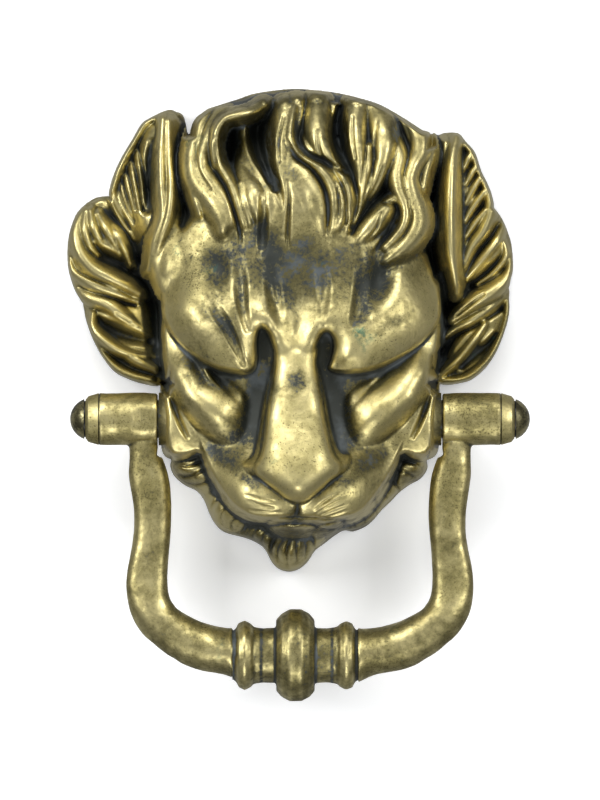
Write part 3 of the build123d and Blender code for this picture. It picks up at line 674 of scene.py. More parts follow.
def muzzle(r):
    """The whisker lines, the parting of the lip and the lower lip."""
    r.grooves((
        [(-16.6, -26.3, 0.2, 0.5), (-12.5, -27.8, 1.0, 0.7), (-8.5, -28.6, 0.8, 0.5)],
        [(-17.5, -24.2, 0.2, 0.5), (-13, -25.6, 0.9, 0.7), (-8, -26.5, 0.6, 0.5)],
        [(-20, -30, 0.2, 0.4), (-14, -31.2, 0.7, 0.5), (-6, -31.3, 0.5, 0.4)],
        [(-21.5, -28.4, 0.2, 0.4), (-14.5, -29.6, 0.8, 0.5), (-6, -30, 0.6, 0.4)],
        [(-18, -32, 0.2, 0.4), (-12, -32.6, 0.5, 0.4), (-6, -32.4, 0.4, 0.4)],
        [(14.8, -25.2, 0.2, 0.5), (9, -28, 1.2, 0.7), (4.5, -31, 0.8, 0.5)],
        [(15.2, -27.4, 0.2, 0.5), (9.5, -29.6, 1.2, 0.7), (4.5, -31.8, 0.8, 0.5)],
        [(15.6, -29.3, 0.2, 0.4), (10, -31, 1.0, 0.6), (4.5, -32.4, 0.6, 0.4)],
        [(15.8, -31, 0.2, 0.4), (10, -32.3, 0.8, 0.5), (5, -33, 0.5, 0.4)],
        [(14, -23, 0.2, 0.5), (8.5, -26.2, 1.1, 0.7), (5, -29, 0.7, 0.5)],
    ))
    # parting of the lip, and the lower lip
    r.groove([(-0.8, -27.8, 0.8, 1.0), (-1.0, -30, 2.2, 1.4), (-1.6, -33, 1.8, 1.6)])
    r.form([(-11.5, -34, 41), (-10.6, -36.8, 38.6), (-6, -38.9, 37.4), (0, -39.4, 37), (6, -39.3, 37),
            (12, -38.8, 37.6), (17, -36.4, 40), (13, -32, 43), (5, -30.4, 43.4), (0, -29.4, 43.6),
            (-6, -30.4, 43.4)], [(-5.4, -34.6, 46), (0, -34.8, 44.6), (6, -35.2, 46),
                                 (11, -35.8, 43.6)], 2.4, 1.4, soft=0.8, slope=2.5)


def hair(r):
    """The locks over the forehead, from the hollows up to the fine partings."""
    r.grooves((
        # the deep hollows between locks
        [(-22, 96, 3, 3), (-23.5, 90, 10, 5), (-22.5, 82, 6, 3)],
        [(-10.5, 101.5, 5, 2.4), (-13.6, 95, 10, 4.2), (-13.2, 88, 11, 4.2), (-10.6, 81.5, 9, 3.2),
         (-8, 75, 6, 2.2)],
        [(13.6, 101, 6, 2.4), (13.6, 91, 13, 4.2), (14.6, 83, 8, 2.6), (17, 76, 3, 1.4)],
        [(30.8, 96, 2, 1.6), (31.3, 93.4, 8, 2.8), (30.8, 90, 2, 1.6)],
        [(32, 76, 3, 2.2), (26, 71.5, 6, 2.2), (20.5, 66, 7, 2), (16.5, 60.5, 5, 1.5)],
        [(-36.5, 96, 6, 2.5), (-38, 86, 10, 3.5), (-37.6, 76, 9, 3), (-35, 66, 5, 2)],
        [(42.5, 92, 5, 2.5), (43.3, 80, 10, 3.4), (42, 66, 9, 3), (41, 55, 5, 2.4)],
    ))
    r.ridges((
        # x, z, h, half width: left side
        [(-31, 99.5, 33, 3), (-33, 92, 37, 3), (-34.5, 84, 39, 3.2), (-33, 77, 41, 4), (-28, 71, 44, 4.6),
         (-25, 65.5, 45.5, 4), (-25, 60.5, 45, 1.6)],
        [(-25, 98.5, 36, 3), (-28.5, 93.5, 38.5, 2.4), (-31, 87, 40, 2.4), (-31.4, 81, 41.5, 2.6),
         (-28, 75.5, 43.5, 3), (-24, 70, 45, 3), (-22, 63, 45, 1)],
        [(-35.2, 75, 38, 1.2), (-33.4, 70, 40, 1.2), (-32.5, 66, 40, 0.7)],
        [(-12, 102, 37, 1.6), (-15.7, 99.5, 41, 1.4), (-20, 98.3, 43, 1.3), (-24, 97, 43.5, 1.2),
         (-26.6, 93.5, 44, 1.2), (-27.5, 88.3, 44, 1.2), (-26.6, 83, 44, 1.3), (-24.3, 79, 44.5, 1.5),
         (-21.8, 74.5, 45.5, 1.6), (-20, 69, 46, 1.4), (-18.3, 62.5, 45, 0.7)],
        [(-19.5, 87, 33, 1), (-19, 82, 38.5, 2.2), (-17.6, 77.5, 43, 3.6), (-15.2, 73.5, 46.5, 4.4),
         (-14, 69, 47.5, 4), (-12.9, 65, 46.8, 2.2), (-12.4, 61.5, 45, 0.8)],
        [(-19, 76, 43.5, 1), (-17.6, 69, 46, 1.2), (-16, 62.5, 45, 0.7)],
        [(-10, 74.5, 44.5, 1.4), (-9.8, 69.5, 46, 1.5), (-9.3, 64, 45, 0.7)],
        # middle
        [(-4.6, 101, 37, 3.2), (-5.6, 94, 41.5, 3.2), (-6, 87, 43.5, 2.8), (-5.4, 80, 45.5, 3.4),
         (-4.8, 74.6, 46.8, 3.6), (-4.7, 69, 47, 2.6), (-5.2, 62, 45.5, 1)],
        [(-4.2, 84.5, 43.5, 2.8), (-1.6, 80.4, 45.5, 4), (2, 76.3, 47.3, 5), (4.6, 71.5, 48.4, 5.2),
         (5.7, 66.5, 48.3, 4.4), (6.6, 62.5, 46.8, 2.6), (7.4, 59.5, 45, 0.8)],
        [(-2, 75, 46.8, 2.4), (-0.9, 70.4, 47.8, 2.6), (0.8, 66.6, 47.2, 1.8), (2.2, 64, 45.5, 0.8)],
        [(-1, 102.5, 36, 2.6), (-2.2, 97, 40.5, 2.4), (-3, 91, 44, 2), (-1.6, 87, 45.2, 2),
         (1.8, 83.8, 46, 2), (6, 80.8, 46.8, 2), (9, 77.4, 47.6, 2), (10.8, 73, 48.3, 2.2),
         (11, 67.5, 48.3, 2.1), (10, 61, 46, 0.9)],
        [(5.6, 102.5, 36, 3.6), (5.4, 96, 41, 4), (6, 90, 43.5, 3.8), (8.6, 85, 45, 3), (11.4, 81, 46, 2.8),
         (13.6, 76.8, 47.8, 3.2), (14.4, 71.8, 48.8, 3.6), (13.6, 66.8, 48.4, 3), (12, 61.4, 46, 1)],
        # right side
        [(18.6, 101.5, 36, 3.8), (17.8, 95, 40.5, 3.6), (18.6, 87.5, 43.4, 2.8), (19.8, 80.5, 45, 2.2),
         (20, 75, 46.2, 2.2), (18.6, 70, 46.8, 2), (16.6, 65, 46.4, 1.6), (14.6, 60, 45, 0.7)],
        [(22, 88, 42, 1), (22, 81, 43.8, 1), (21.6, 75, 44.6, 1), (20, 69, 44.6, 0.7)],
        [(24, 100.5, 35, 4.2), (26.2, 95, 39.5, 4.6), (27.2, 89.5, 42, 4.2), (26.8, 84.6, 43, 3.2),
         (25.4, 80, 43.4, 2.3), (24, 76, 43.4, 1.5), (22, 71.5, 43, 0.8)],
        [(30.5, 90, 37.5, 2.4), (32, 85, 39.6, 2.8), (31.2, 79.4, 41.6, 2.6), (32, 74, 42.8, 2.2),
         (34, 68.6, 43.6, 2.2), (33.6, 63.6, 44, 2.2), (31, 59, 44, 2), (27.5, 55.5, 43.6, 1.2)],
        [(32, 100.5, 32, 2.4), (36, 97, 35.5, 3.4), (38.6, 91.6, 37.5, 3.6), (38.8, 86.6, 38.6, 3.2),
         (36.6, 82, 40, 2.6), (35.4, 77.5, 41.2, 2.4), (36.2, 72.5, 42, 3), (37.6, 67.5, 43, 3.6),
         (37.8, 62.6, 43.6, 3.6), (35.4, 58, 44, 3.2), (31.6, 54, 44, 2.6), (27.5, 51, 43, 1.4)],
        [(29.6, 70.6, 42.4, 1.6), (27.4, 67.6, 44.8, 3), (24.2, 63.8, 45.8, 3.6), (20.8, 60, 45.4, 2.8),
         (17.8, 56.8, 44.2, 1.2)],
        [(40.8, 92.5, 32, 1.4), (42, 86, 34, 1.5), (40.6, 80, 35, 1.3), (39.6, 74, 36, 1)],
    ), 0.95, 0.9)
    r.grooves((
        # fine cuts along the broad locks
        [(-5.2, 98, 0.8, 0.5), (-6.8, 90, 1.4, 0.6), (-6.6, 83, 1, 0.5)],
        [(17, 98, 0.8, 0.5), (17, 91, 1.4, 0.6), (18, 84, 1, 0.5)],
        [(25, 97, 0.5, 0.5), (24.2, 90, 1, 0.6), (24.4, 84, 1, 0.5)],
        [(12, 74.5, 1, 0.5), (12.6, 69.5, 1.4, 0.6), (12.4, 65.5, 1, 0.4)],
        [(33, 98, 0.8, 0.5), (35.6, 91, 1.3, 0.6), (35, 84.5, 1.2, 0.5), (33.6, 79, 0.8, 0.5)],
        [(35, 70, 0.8, 0.5), (36, 65, 1.4, 0.6), (34, 60, 1.2, 0.5), (30, 56, 0.8, 0.5)],
        [(-33.8, 89, 0.8, 0.5), (-33, 81, 1.2, 0.6), (-29, 74, 1, 0.5)],
        [(26.2, 66.5, 0.8, 0.5), (24.6, 61.6, 1.4, 0.6), (21.8, 58, 1, 0.5)],
    ))
    # the tips run into the forehead
    for oval in ((-26, 59, 9, 5, 22), (-12, 59, 8, 4.5, 22), (0, 59, 8, 4, 16), (11, 58, 6, 4, 18),
                 (18, 56, 5, 3.5, 14), (31, 51, 7, 4, 16), (-42, 50, 4, 7, 24), (-36, 63, 4, 6, 14)):
        r.melt(*oval)
    r.grooves((
        # deep partings between the locks
        [(-27.8, 90.9, 0.4, 0.8), (-26.8, 80.7, 1.8, 1.2), (-23.8, 74.6, 2.2, 1.2), (-19.9, 62.4, 2, 1),
         (-19.2, 56, 0.3, 1)],
        [(-14, 84, 1, 2), (-9.4, 78.7, 3, 2.4), (-6.4, 72.6, 1.6, 1.6), (-5.6, 68, 0.3, 1)],
        [(-12.6, 72, 0.4, 1), (-12, 66, 2.2, 2), (-12.1, 60, 2.4, 2.2), (-12.4, 53, 0.4, 2)],
        [(-4, 76.7, 0.3, 0.8), (-3.6, 69.6, 1.4, 0.9), (-4, 60, 1.6, 1.2), (-4, 55, 0.3, 1)],
        [(-4, 90, 0.4, 1), (-1.4, 84.8, 2.4, 1.2), (3.7, 80.7, 2.8, 1.2), (7.7, 74.6, 2.6, 1.1),
         (9.2, 67.5, 2.2, 1), (8.7, 60, 0.6, 1)],
        [(-0.4, 101, 1, 1.4), (-0.9, 92, 3.4, 1.8), (1.6, 86, 3.4, 1.8), (8.7, 82.8, 2.6, 1.4),
         (14.6, 79.7, 2, 1.4)],
        [(5.7, 93, 0.4, 0.9), (6.6, 85.8, 1.4, 0.9), (11.8, 78.7, 2, 0.9), (14.6, 71.6, 2.2, 1),
         (14.9, 63, 1.4, 0.9)],
        [(13.3, 101, 3, 2), (12.4, 92, 7, 3.2), (13.4, 84.6, 5, 2.6), (16.8, 78, 3, 1.6),
         (18.6, 71, 2.4, 1.3), (16.6, 62, 2.4, 1.2)],
        [(21.9, 93, 0.3, 0.6), (20.9, 84, 1.4, 0.7), (19.4, 74, 0.4, 0.6)],
        [(24.5, 85, 0.3, 0.6), (22.2, 77, 1.4, 0.7), (20, 69, 0.4, 0.6)],
        [(27, 82, 0.3, 0.6), (24.6, 75.6, 1.4, 0.7), (21, 69, 0.4, 0.6)],
        [(26, 70.6, 0.6, 1), (31.4, 68.5, 2.4, 1.2), (31.6, 63.4, 2.6, 1.3), (27.6, 58.4, 2.4, 1.3),
         (24, 54, 0.6, 1)],
    ))


def grime_and_shade(r):
    """Dark patches of old patina, with painted shade in the eye hollows: x, z, half width, half height,
    strength, turn.
    """
    for patch in (
        # the patches at x from ±9.5 to ±19 and z from -7 to 11 paint the shade of the eye hollows beside the
        # nose; the rest are old patina
        (-22.5, 89, 5.5, 8, 1.1, 10), (-12.6, 92, 4, 9, 1.0, 5), (-9, 78, 3.4, 6, 0.9, 15),
        (13.6, 92, 3, 8, 1.1, 0), (15, 80, 2.5, 6, 0.8, 0), (-0.6, 94, 2, 7, 0.9, 0),
        (7, 83.5, 7, 1.8, 0.9, -18), (-13, 60, 3, 6, 0.9, 0), (27, 62, 5, 6, 0.5, 0),
        (31.4, 93, 2.6, 4, 1.0, 0), (24, 69, 7, 3, 0.9, 38), (1, 88, 36, 16, 0.50, 0),
        (0, 70, 30, 10, 0.28, 0), (0, 46, 28, 15, 0.52, 0), (-20, 55, 10, 6, 0.7, 20),
        (22, 52, 8, 6, 0.6, -20), (-10, 55, 4, 8, 0.9, 0), (-19, 42, 3, 9, 0.75, 0),
        (-23, 29, 3, 7, 0.85, 32), (-9.5, 46, 3, 8, 0.7, 0), (7.5, 50, 3, 6, 0.6, 0),
        (-11.2, 22, 2, 6, 1.3, 0), (7.6, 21.5, 2, 5.6, 1.3, 0), (-14.8, 8, 3, 8, 1.2, 0),
        (12, 8, 3, 8, 1.2, 0), (-50, 80, 7, 12, 0.55, 0), (-39, 68, 3, 12, 0.45, 0), (-66, 58, 5, 5, 0.4, 30),
        (-58, 52, 6, 4, 0.5, 30), (20, 42, 3.4, 8, 0.7, 0), (-28, 36, 6, 6, 0.45, 0),
        (-1.6, -31, 3, 4, 0.9, 0), (-33, 13, 6, 3, 0.4, -35), (2, 56, 4, 4, 0.8, 0),
        (-11.5, 11, 4, 6, 1.0, 0), (9.5, 11, 3.6, 6, 1.0, 0), (-5, 51, 11, 7, 0.75, 10),
        (-4, 41, 5, 7, 0.7, 0), (5, 46, 5, 8, 0.55, 0), (-1, 12.5, 3.6, 3.4, 0.9, 0),
        (-27, 49, 6, 8, 0.9, 20), (25.5, 45, 5.5, 9, 1.1, -18), (20, 34, 3.5, 6, 0.9, -25),
        (14, 50, 6, 9, 0.5, 0), (30, 31, 3, 7, 0.6, -60), (-22, 27, 5, 8, 0.45, 30),
        (-31, 26, 7, 9, 0.35, 20), (-26, 12, 9, 3.5, 0.8, -25), (-33, 16, 10, 3, 0.7, -38),
        (-40, 6, 5, 3, 0.6, -50), (40, 4, 5, 3, 0.6, 50), (-22, -13, 6, 4, 0.8, -40),
        (21, -14, 6, 4, 0.8, 40), (-16.5, 1, 4.5, 9, 1.1, 0), (-19, -6, 5, 4, 1.0, 0),
        (13.5, 1, 4, 9, 1.1, 0), (16, -7, 5, 4, 1.0, 0), (-27, -11, 8, 3.4, 0.9, -40),
        (26, -12, 7, 3.4, 0.7, 40), (22, 13, 10, 3.4, 0.6, 25), (31, 19, 9, 4, 0.35, 35),
        (-16, -20, 4, 2.6, 0.9, -35), (14.6, -20.4, 4, 2.4, 0.8, 35), (-36, 9, 6, 7, 0.3, 0),
        (-25, -2, 5, 5, 0.35, 0), (-33, -2, 5, 4, 0.3, 0), (-12, -39, 14, 5, 0.75, 0),
        (16, -37, 14, 5, 0.75, 0), (-36, 50, 9, 10, 0.35, 0), (36, 50, 8, 8, 0.4, 0), (0, 103, 28, 3, 0.6, 0),
        (-2, -40, 8, 6, 0.6, 0), (24, -20, 6, 6, 0.3, 0), (-1.5, -2, 8, 12, 0.15, 0),
        (-37, -19, 7, 5, 0.5, 0), (36, -18, 7, 5, 0.5, 0),
    ):
        r.darken(*patch)


def lion():
    """The whole relief, from its outline to its patina and painted shade."""
    r = Relief((-77, -51), (71, 109))
    for points in SILHOUETTE:
        r.outline(points)
    masses = (lobes, left_mane, right_mane, beard, left_ear, right_ear)
    for add in (*masses, head, ruffs, forehead, cheeks, nose, muzzle, hair, grime_and_shade):
        add(r)
    r.h = blurred(r.h, 1)
    return r


# ---- from heights to a cast shell ------------------------------------------------------------------------
RIM = 6.0  # width of the flat rim that lies on the door
SHELL = 5.5  # thickness of the metal behind the relief
ROOF = 30.0  # deepest the hollow goes
HOLLOW_SLOPE = 2.5  # of the hollow's sides
HOLLOW_BLUR = 60  # passes that smooth the relief before it is copied on the back
SIDE_FOOT, SIDE_SLOPE, SIDE_ROUND = 2.5, 13, 5.0  # the casting's sides: height at the edge, slope, rounding
LUG_SIDE_SLOPE = 40  # the same beside the barrels, which is steeper
LUG_SIDE_X, LUG_SIDE_Z = 38, 13
LEAST_H = 2.0
LEAST_STEEP = 0.2  # keeps the step to the outline short where the distance is flat
BOSS_R, BOSS_TOP = 9.0, 34.0
UPPER_FIXING, LOWER_FIXING = 68.0, -24.0  # above the pivot axis
TAP_R, TAP_DEPTH, TAP_OVER = 3.4, 18.0, 1.0  # the tool reaches out of the hole by TAP_OVER
LUG_IN, LUG_OUT, LUG_R = 37.5, 46.0, 8.6
PIN_HOLE_R, PIN_HOLE_X = 4.08, 42
NUT_ROOM_R, NUT_ROOM_IN = 10.0, 22.0
SWEEP_R = 9.6  # kept clear for the barrels beside the lugs
ROD_SIDES = 64
CUT_LENGTH = 30


def to_frame(x, z, h):
    """Door coordinates turned into the frame's."""
    return np.column_stack([x, PIVOT_H - h, z]) * MM + np.array(PIVOT)


def shell(r):
    """The closed mesh between the relief and the hollow behind it."""
    edge = r.edge
    front = -softer_max(-r.h, -SIDE_FOOT - SIDE_SLOPE * np.maximum(edge, 0), SIDE_ROUND)
    lug = np.exp(-((r.z / LUG_SIDE_Z) ** 4)) * (np.abs(r.x) > LUG_SIDE_X)
    front += (np.minimum(r.h, SIDE_FOOT + LUG_SIDE_SLOPE * np.maximum(edge, 0)) - front) * lug
    front = np.maximum(front, LEAST_H)
    keep = edge > 0
    cells = keep[:-1, :-1] | keep[1:, :-1] | keep[:-1, 1:] | keep[1:, 1:]
    used = np.zeros(keep.shape, bool)
    for di in (0, 1):
        for dj in (0, 1):
            used[di : di + cells.shape[0], dj : dj + cells.shape[1]] |= cells
    slope_z, slope_x = np.gradient(edge, STEP)
    steep = np.maximum(slope_x**2 + slope_z**2, LEAST_STEEP)
    out = np.where(keep, 0, edge)  # points just outside are drawn in to the outline
    x = r.x - out * slope_x / steep
    z = r.z - out * slope_z / steep
    front = np.where(keep, front, 0)
    back = np.minimum(blurred(front, HOLLOW_BLUR) - SHELL, ROOF)
    back = np.clip(np.minimum(back, (edge - RIM) * HOLLOW_SLOPE), 0, None)
    number = np.full(keep.shape, -1)
    number[used] = np.arange(used.sum())
    inner = used & keep
    number_back = number.copy()
    number_back[inner] = used.sum() + np.arange(inner.sum())
    points = np.vstack([to_frame(x[used], z[used], front[used]), to_frame(x[inner], z[inner], back[inner])])
    i, j = np.nonzero(cells)
    quads = []
    for index, turned in ((number, False), (number_back, True)):
        corners = [index[i, j], index[i, j + 1], index[i + 1, j + 1], index[i + 1, j]]
        quads.append(np.column_stack(corners[::-1] if turned else corners))
    return points, np.vstack(quads)


def mesh_object(name, points, faces):
    """A piece made of points and faces."""
    mesh = bpy.data.meshes.new(name)
    mesh.from_pydata(points.tolist(), [], faces.tolist())
    mesh.update()
    return placed(name, mesh)


def rod(axis, x, z, h, r, length):
    """A cylinder tool, centred at (x, z, h), along the frame's x or y axis."""
    bm = bmesh.new()
    r *= MM
    bmesh.ops.create_cone(bm, cap_ends=True, segments=ROD_SIDES, radius1=r, radius2=r, depth=length * MM)
    tool = bpy.data.meshes.new("tool")
    bm.to_mesh(tool)
    bm.free()
    piece = placed("tool", tool)
    piece.rotation_euler = (0, math.pi / 2, 0) if axis == "x" else (math.pi / 2, 0, 0)
    piece.location = to_frame(x, z, h)[0]
    return piece


def combine(piece, operation, tools):
    """Adds tools to a piece or takes them away, and keeps the result of all its modifiers as its mesh."""
    for tool in tools:
        step = piece.modifiers.new("step", "BOOLEAN")
        step.solver = "MANIFOLD"
        step.operation = operation
        step.object = tool
    bpy.context.view_layer.update()
    evaluated = piece.evaluated_get(bpy.context.evaluated_depsgraph_get())
    mesh = bpy.data.meshes.new_from_object(evaluated)
    piece.modifiers.clear()
    piece.data = mesh
    for tool in tools:
        bpy.data.objects.remove(tool)


SAME_POINT, SLIVER = 0.00002, 0.00001  # in metres


def tidy_mesh(piece):
    """Joins points that lie on each other and takes out faces without an area."""
    bm = bmesh.new()
    bm.from_mesh(piece.data)
    bmesh.ops.remove_doubles(bm, verts=bm.verts, dist=SAME_POINT)
    bmesh.ops.dissolve_degenerate(bm, dist=SLIVER, edges=bm.edges)
    bm.to_mesh(piece.data)
    bm.free()


def sampled(grid, r, x, z):
    """Values of a grid at places between its points."""
    u = np.clip((x - r.x[0, 0]) / STEP, 0, grid.shape[1] - 1.001)
    v = np.clip((z - r.z[0, 0]) / STEP, 0, grid.shape[0] - 1.001)
    j, i = u.astype(int), v.astype(int)
    s, t = u - j, v - i
    low = grid[i, j] * (1 - s) + grid[i, j + 1] * s
    high = grid[i + 1, j] * (1 - s) + grid[i + 1, j + 1] * s
    return low * (1 - t) + high * t


def mark(piece, name, values):
    """Stores a number at each point, for the materials to read."""
    attribute = piece.data.attributes.new(name, "FLOAT", "POINT")
    attribute.data.foreach_set("value", values.astype(np.float32))


def vertex_array(mesh, what):
    """A property of each point, one row per point."""
    out = np.zeros(len(mesh.vertices) * 3)
    mesh.vertices.foreach_get(what, out)
    return out.reshape(-1, 3)


FINE_BLUR, DEPTH_BLUR, BROAD_BLUR = 10, 60, 220  # passes: details, grooves and whole masses
INNER_MARKS = {"fine": -0.4, "broad": -3.0, "depth": 1.5, "grime_and_shade": 0.4}  # in the hollow and on the back
EDGE_FADE = 3  # width of the silhouette's border, where the marks fade out
UNDER_RELIEF, INSIDE_RIM, FACES_DOOR = 3.5, 4.0, 0.1  # what tells the hollow and the back from the relief
LUG_END_X, LUG_END_FADE, LUG_END_Z, LUG_END_SHADE = 43.4, 1.2, 9.5, 0.7


def mask_marks(piece, r):
    """How far each point of the relief lies below or above its surroundings, which drives the patina."""
    co = (vertex_array(piece.data, "co") - np.array(PIVOT)) / MM
    x, z, h = co[:, 0], co[:, 2], PIVOT_H - co[:, 1]

    def at(grid):
        return sampled(grid, r, x, z)

    inset = at(r.edge)
    inside = np.where(r.edge > 0, r.h, 0)
    edge = np.clip(inset / EDGE_FADE, 0, 1)
    # the lug ends beside the barrels are painted dark: a painted shadow of the narrow gap between the mask
    # and the barrels
    lug_end = np.clip((np.abs(x) - LUG_END_X) / LUG_END_FADE, 0, 1) * (np.abs(z) < LUG_END_Z) * LUG_END_SHADE
    marks = {
        "fine": at(r.h - blurred(r.h, FINE_BLUR)) * edge,
        "broad": at(inside - blurred(inside, BROAD_BLUR)) * edge,
        "depth": at(np.maximum(blurred(r.h, DEPTH_BLUR) - r.h, 0)) * edge,
        "grime_and_shade": np.maximum(at(r.grime_and_shade), lug_end),
    }
    in_hollow = (h < at(r.h) - UNDER_RELIEF) & (inset > INSIDE_RIM)
    inner = in_hollow | (vertex_array(piece.data, "normal")[:, 1] > FACES_DOOR)
    for name, values in marks.items():
        mark(piece, name, np.where(inner, INNER_MARKS[name], values))


def smooth_shaded(piece):
    """Shades every face of a piece smoothly."""
    for polygon in piece.data.polygons:
        polygon.use_smooth = True


def lion_mask():
    """The cast mask: the relief, its hollow, the fixing bosses, the pivot bores and room for the nuts."""
    r = lion()
    piece = mesh_object("cast_lion_mask", *shell(r))
    bosses = [rod("y", 0, z, BOSS_TOP / 2, BOSS_R, BOSS_TOP) for z in (UPPER_FIXING, LOWER_FIXING)]
    lugs = [rod("x", s * (LUG_IN + LUG_OUT) / 2, 0, PIVOT_H, LUG_R, LUG_OUT - LUG_IN) for s in (-1, 1)]
    combine(piece, "UNION", bosses + lugs)
    cuts = []
    for z in (UPPER_FIXING, LOWER_FIXING):
        cuts.append(rod("y", 0, z, (TAP_DEPTH - TAP_OVER) / 2, TAP_R, TAP_DEPTH + TAP_OVER))
    for s in (-1, 1):
        cuts.append(rod("x", s * PIN_HOLE_X, 0, PIVOT_H, PIN_HOLE_R, CUT_LENGTH))
        cuts.append(rod("x", s * (NUT_ROOM_IN + LUG_IN) / 2, 0, PIVOT_H, NUT_ROOM_R, LUG_IN - NUT_ROOM_IN))
        cuts.append(rod("x", s * (LUG_OUT + CUT_LENGTH / 2), 0, PIVOT_H, SWEEP_R, CUT_LENGTH))
    combine(piece, "DIFFERENCE", cuts)
    tidy_mesh(piece)
    mask_marks(piece, r)
    smooth_shaded(piece)
    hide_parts("lion_mask")
    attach(piece, "mask")
    return piece


# ---- the bail --------------------------------------------------------------------------------------------
VOXEL = 0.00045
SMOOTHINGS = 9
MACHINED_R = 7.4  # inside this radius a barrel stays as machined
BARREL_IN, BARREL_OUT, BARREL_R = 46.4, 65.6, 8.6
ARM_BELOW, ARM_MIDDLE = (2, 18, 33, 46, 56), (52.5, 49.3, 48.0, 49.2, 49.8)  # -z, and |x| of an arm's middle
ARM_REACH = 9  # how far from an arm's middle its shape is changed
ARM_END = -66  # z where the arms' changes have faded out
# each _TOP or _LOW is where along -z a change begins, and how far on it is whole
WIDER, WIDER_TOP, WIDER_LOW = 0.07, (10, 8), 12  # share by which each arm is widened
FLARE, FLARE_TOP, FLARE_LOW = 0.8, (9.5, 3), (12, 11)  # at the inner corner of each arm's top
FLARE_WIDTH, FLARE_FROM = 6, 38
FLAT_H, FLAT_TILT, FLAT_ROUND = 4.9, 0.04, 0.9  # the flat's height above the axis, its tilt, its soft border
FLAT_TOP, FLAT_LOW = (6.5, 4), 14
FILED_H, FILED_X, FILED_FADE = 7.8, 54.5, 3.0
BAR_OUT, BAR_MIDDLE = (20, 32, 39, 46), (-75.1, -74.8, -73.5, -70)  # |x|, and z of the CAD bar's middle
GROW_OUT, GROW = (20, 30, 38, 47), (2.9, 2.2, 1.3, 0.0)  # |x|, and how much radius the bar gains
LIFT_OUT, LIFT = (20, 27, 34, 41, 48, 56), (-1.2, -0.5, 0.7, 2.0, 1.9, 0.0)  # |x|, and how far it is raised
BAR_TOP = (52, 14)
BAR_DEPTH = 0.7  # how much of the gain goes to the front and back
BAR_R, COLLAR_R = 5, 10
LEFT_COLLAR, RIGHT_COLLAR = (21.7, 0.6), (18.5, 0.6)  # |x| where the plain bar begins, and its fade
NEAR_COLLARS, LIFTED_R = 26, (10.5, 2)  # up to this |x| only what is inside this radius is raised
BAR_Z = -77.0  # the middle of the collars and the bead
BEAD_X = -1.5
DENT, RIPPLE = 0.10, 0.02  # depth of the cast surface's dents and ripples
DENT_SIZE, RIPPLE_SIZE = 12, 4
SEAMS = (-21.6, -12.6, -7.9, 4.9, 10.4, 18.4)  # where the bar, the collars and the bead meet
SEAM_HALF, SEAM_R, SEAM_DIRT = 0.55, 12, 0.8
FERRULE_SEAM, FERRULE_SEAM_HALF = 65.4, 0.35
COLLARS_HALF, COLLARS_DIRT = 17, 0.10
BEAD_HALF, BEAD_DIRT = 6, 0.03
BEAD_R = 16  # takes in the bead and the collars
LOW_DARKENING, LOW_DARKENING_TOP = 0.10, (60, 8)  # darker towards the bottom: on the bar and the bends
HOLLOW_GAIN, FINE_GAIN = 7, 6  # from the bail's hollows and edges to the mask's scale
WAVES, WAVE_RANGE, WAVE_SUM = 14, (0.6, 1.5), 4.5


def edge_pairs(mesh):
    """The two points of each edge."""
    pairs = np.zeros(len(mesh.edges) * 2, int)
    mesh.edges.foreach_get("vertices", pairs)
    return pairs.reshape(-1, 2)


def relaxed(values, pairs, passes, share=0.5):
    """Each vertex's values moved towards its neighbours' mean."""
    a, b = pairs[:, 0], pairs[:, 1]
    n = len(values)
    count = np.maximum(np.bincount(np.concatenate([a, b]), minlength=n), 1)[:, None]
    for _ in range(passes):
        columns = [np.bincount(a, v[b], n) + np.bincount(b, v[a], n) for v in values.T]
        values = values + (np.column_stack(columns) / count - values) * share
    return values


def waviness(points, size, seed):
    """A smooth field over points, mostly between -1 and 1, with features of about the given size in mm."""
    rng = np.random.default_rng(seed)
    total = np.zeros(len(points))
    for _ in range(WAVES):
        wave = rng.normal(size=3)
        wave *= 2 * math.pi / size / np.linalg.norm(wave) * rng.uniform(*WAVE_RANGE)
        total += np.sin(points @ wave + rng.uniform(0, 2 * math.pi))
    return total / WAVE_SUM


def fade(value, start, width):
    """0 up to start, then rising evenly to 1 over width."""
    return np.clip((value - start) / width, 0, 1)


def stout_bar(co):
    """Fills out the bar between its collars and the bends, and lifts the bends a little."""
    x, y, z = co.T
    out = np.abs(x)
    low = fade(-z, *BAR_TOP)
    free = np.maximum(fade(-x, *LEFT_COLLAR), fade(x, *RIGHT_COLLAR))
    middle = np.interp(out, BAR_OUT, BAR_MIDDLE)
    off = np.hypot(y, z - middle)
    share = np.where(off < BAR_R, off / BAR_R, fade(-off, -COLLAR_R, BAR_R))
    swell = np.interp(out, GROW_OUT, GROW) * share * free * low
    off = np.maximum(off, 0.01)
    lift = np.interp(out, LIFT_OUT, LIFT)
    lift *= free * low * np.where(out < NEAR_COLLARS, fade(-off, -LIFTED_R[0], LIFTED_R[1]), 1)
    return np.column_stack([x, y + BAR_DEPTH * swell * y / off, z + swell * (z - middle) / off + lift])


def pressed(co, cap, share, soft=0.3):
    """Holds the front softly below a height above the axis."""
    front = -co[:, 1]
    flat = -soft * np.logaddexp(-front / soft, -cap / soft)
    co[:, 1] = -(front + (flat - front) * share)


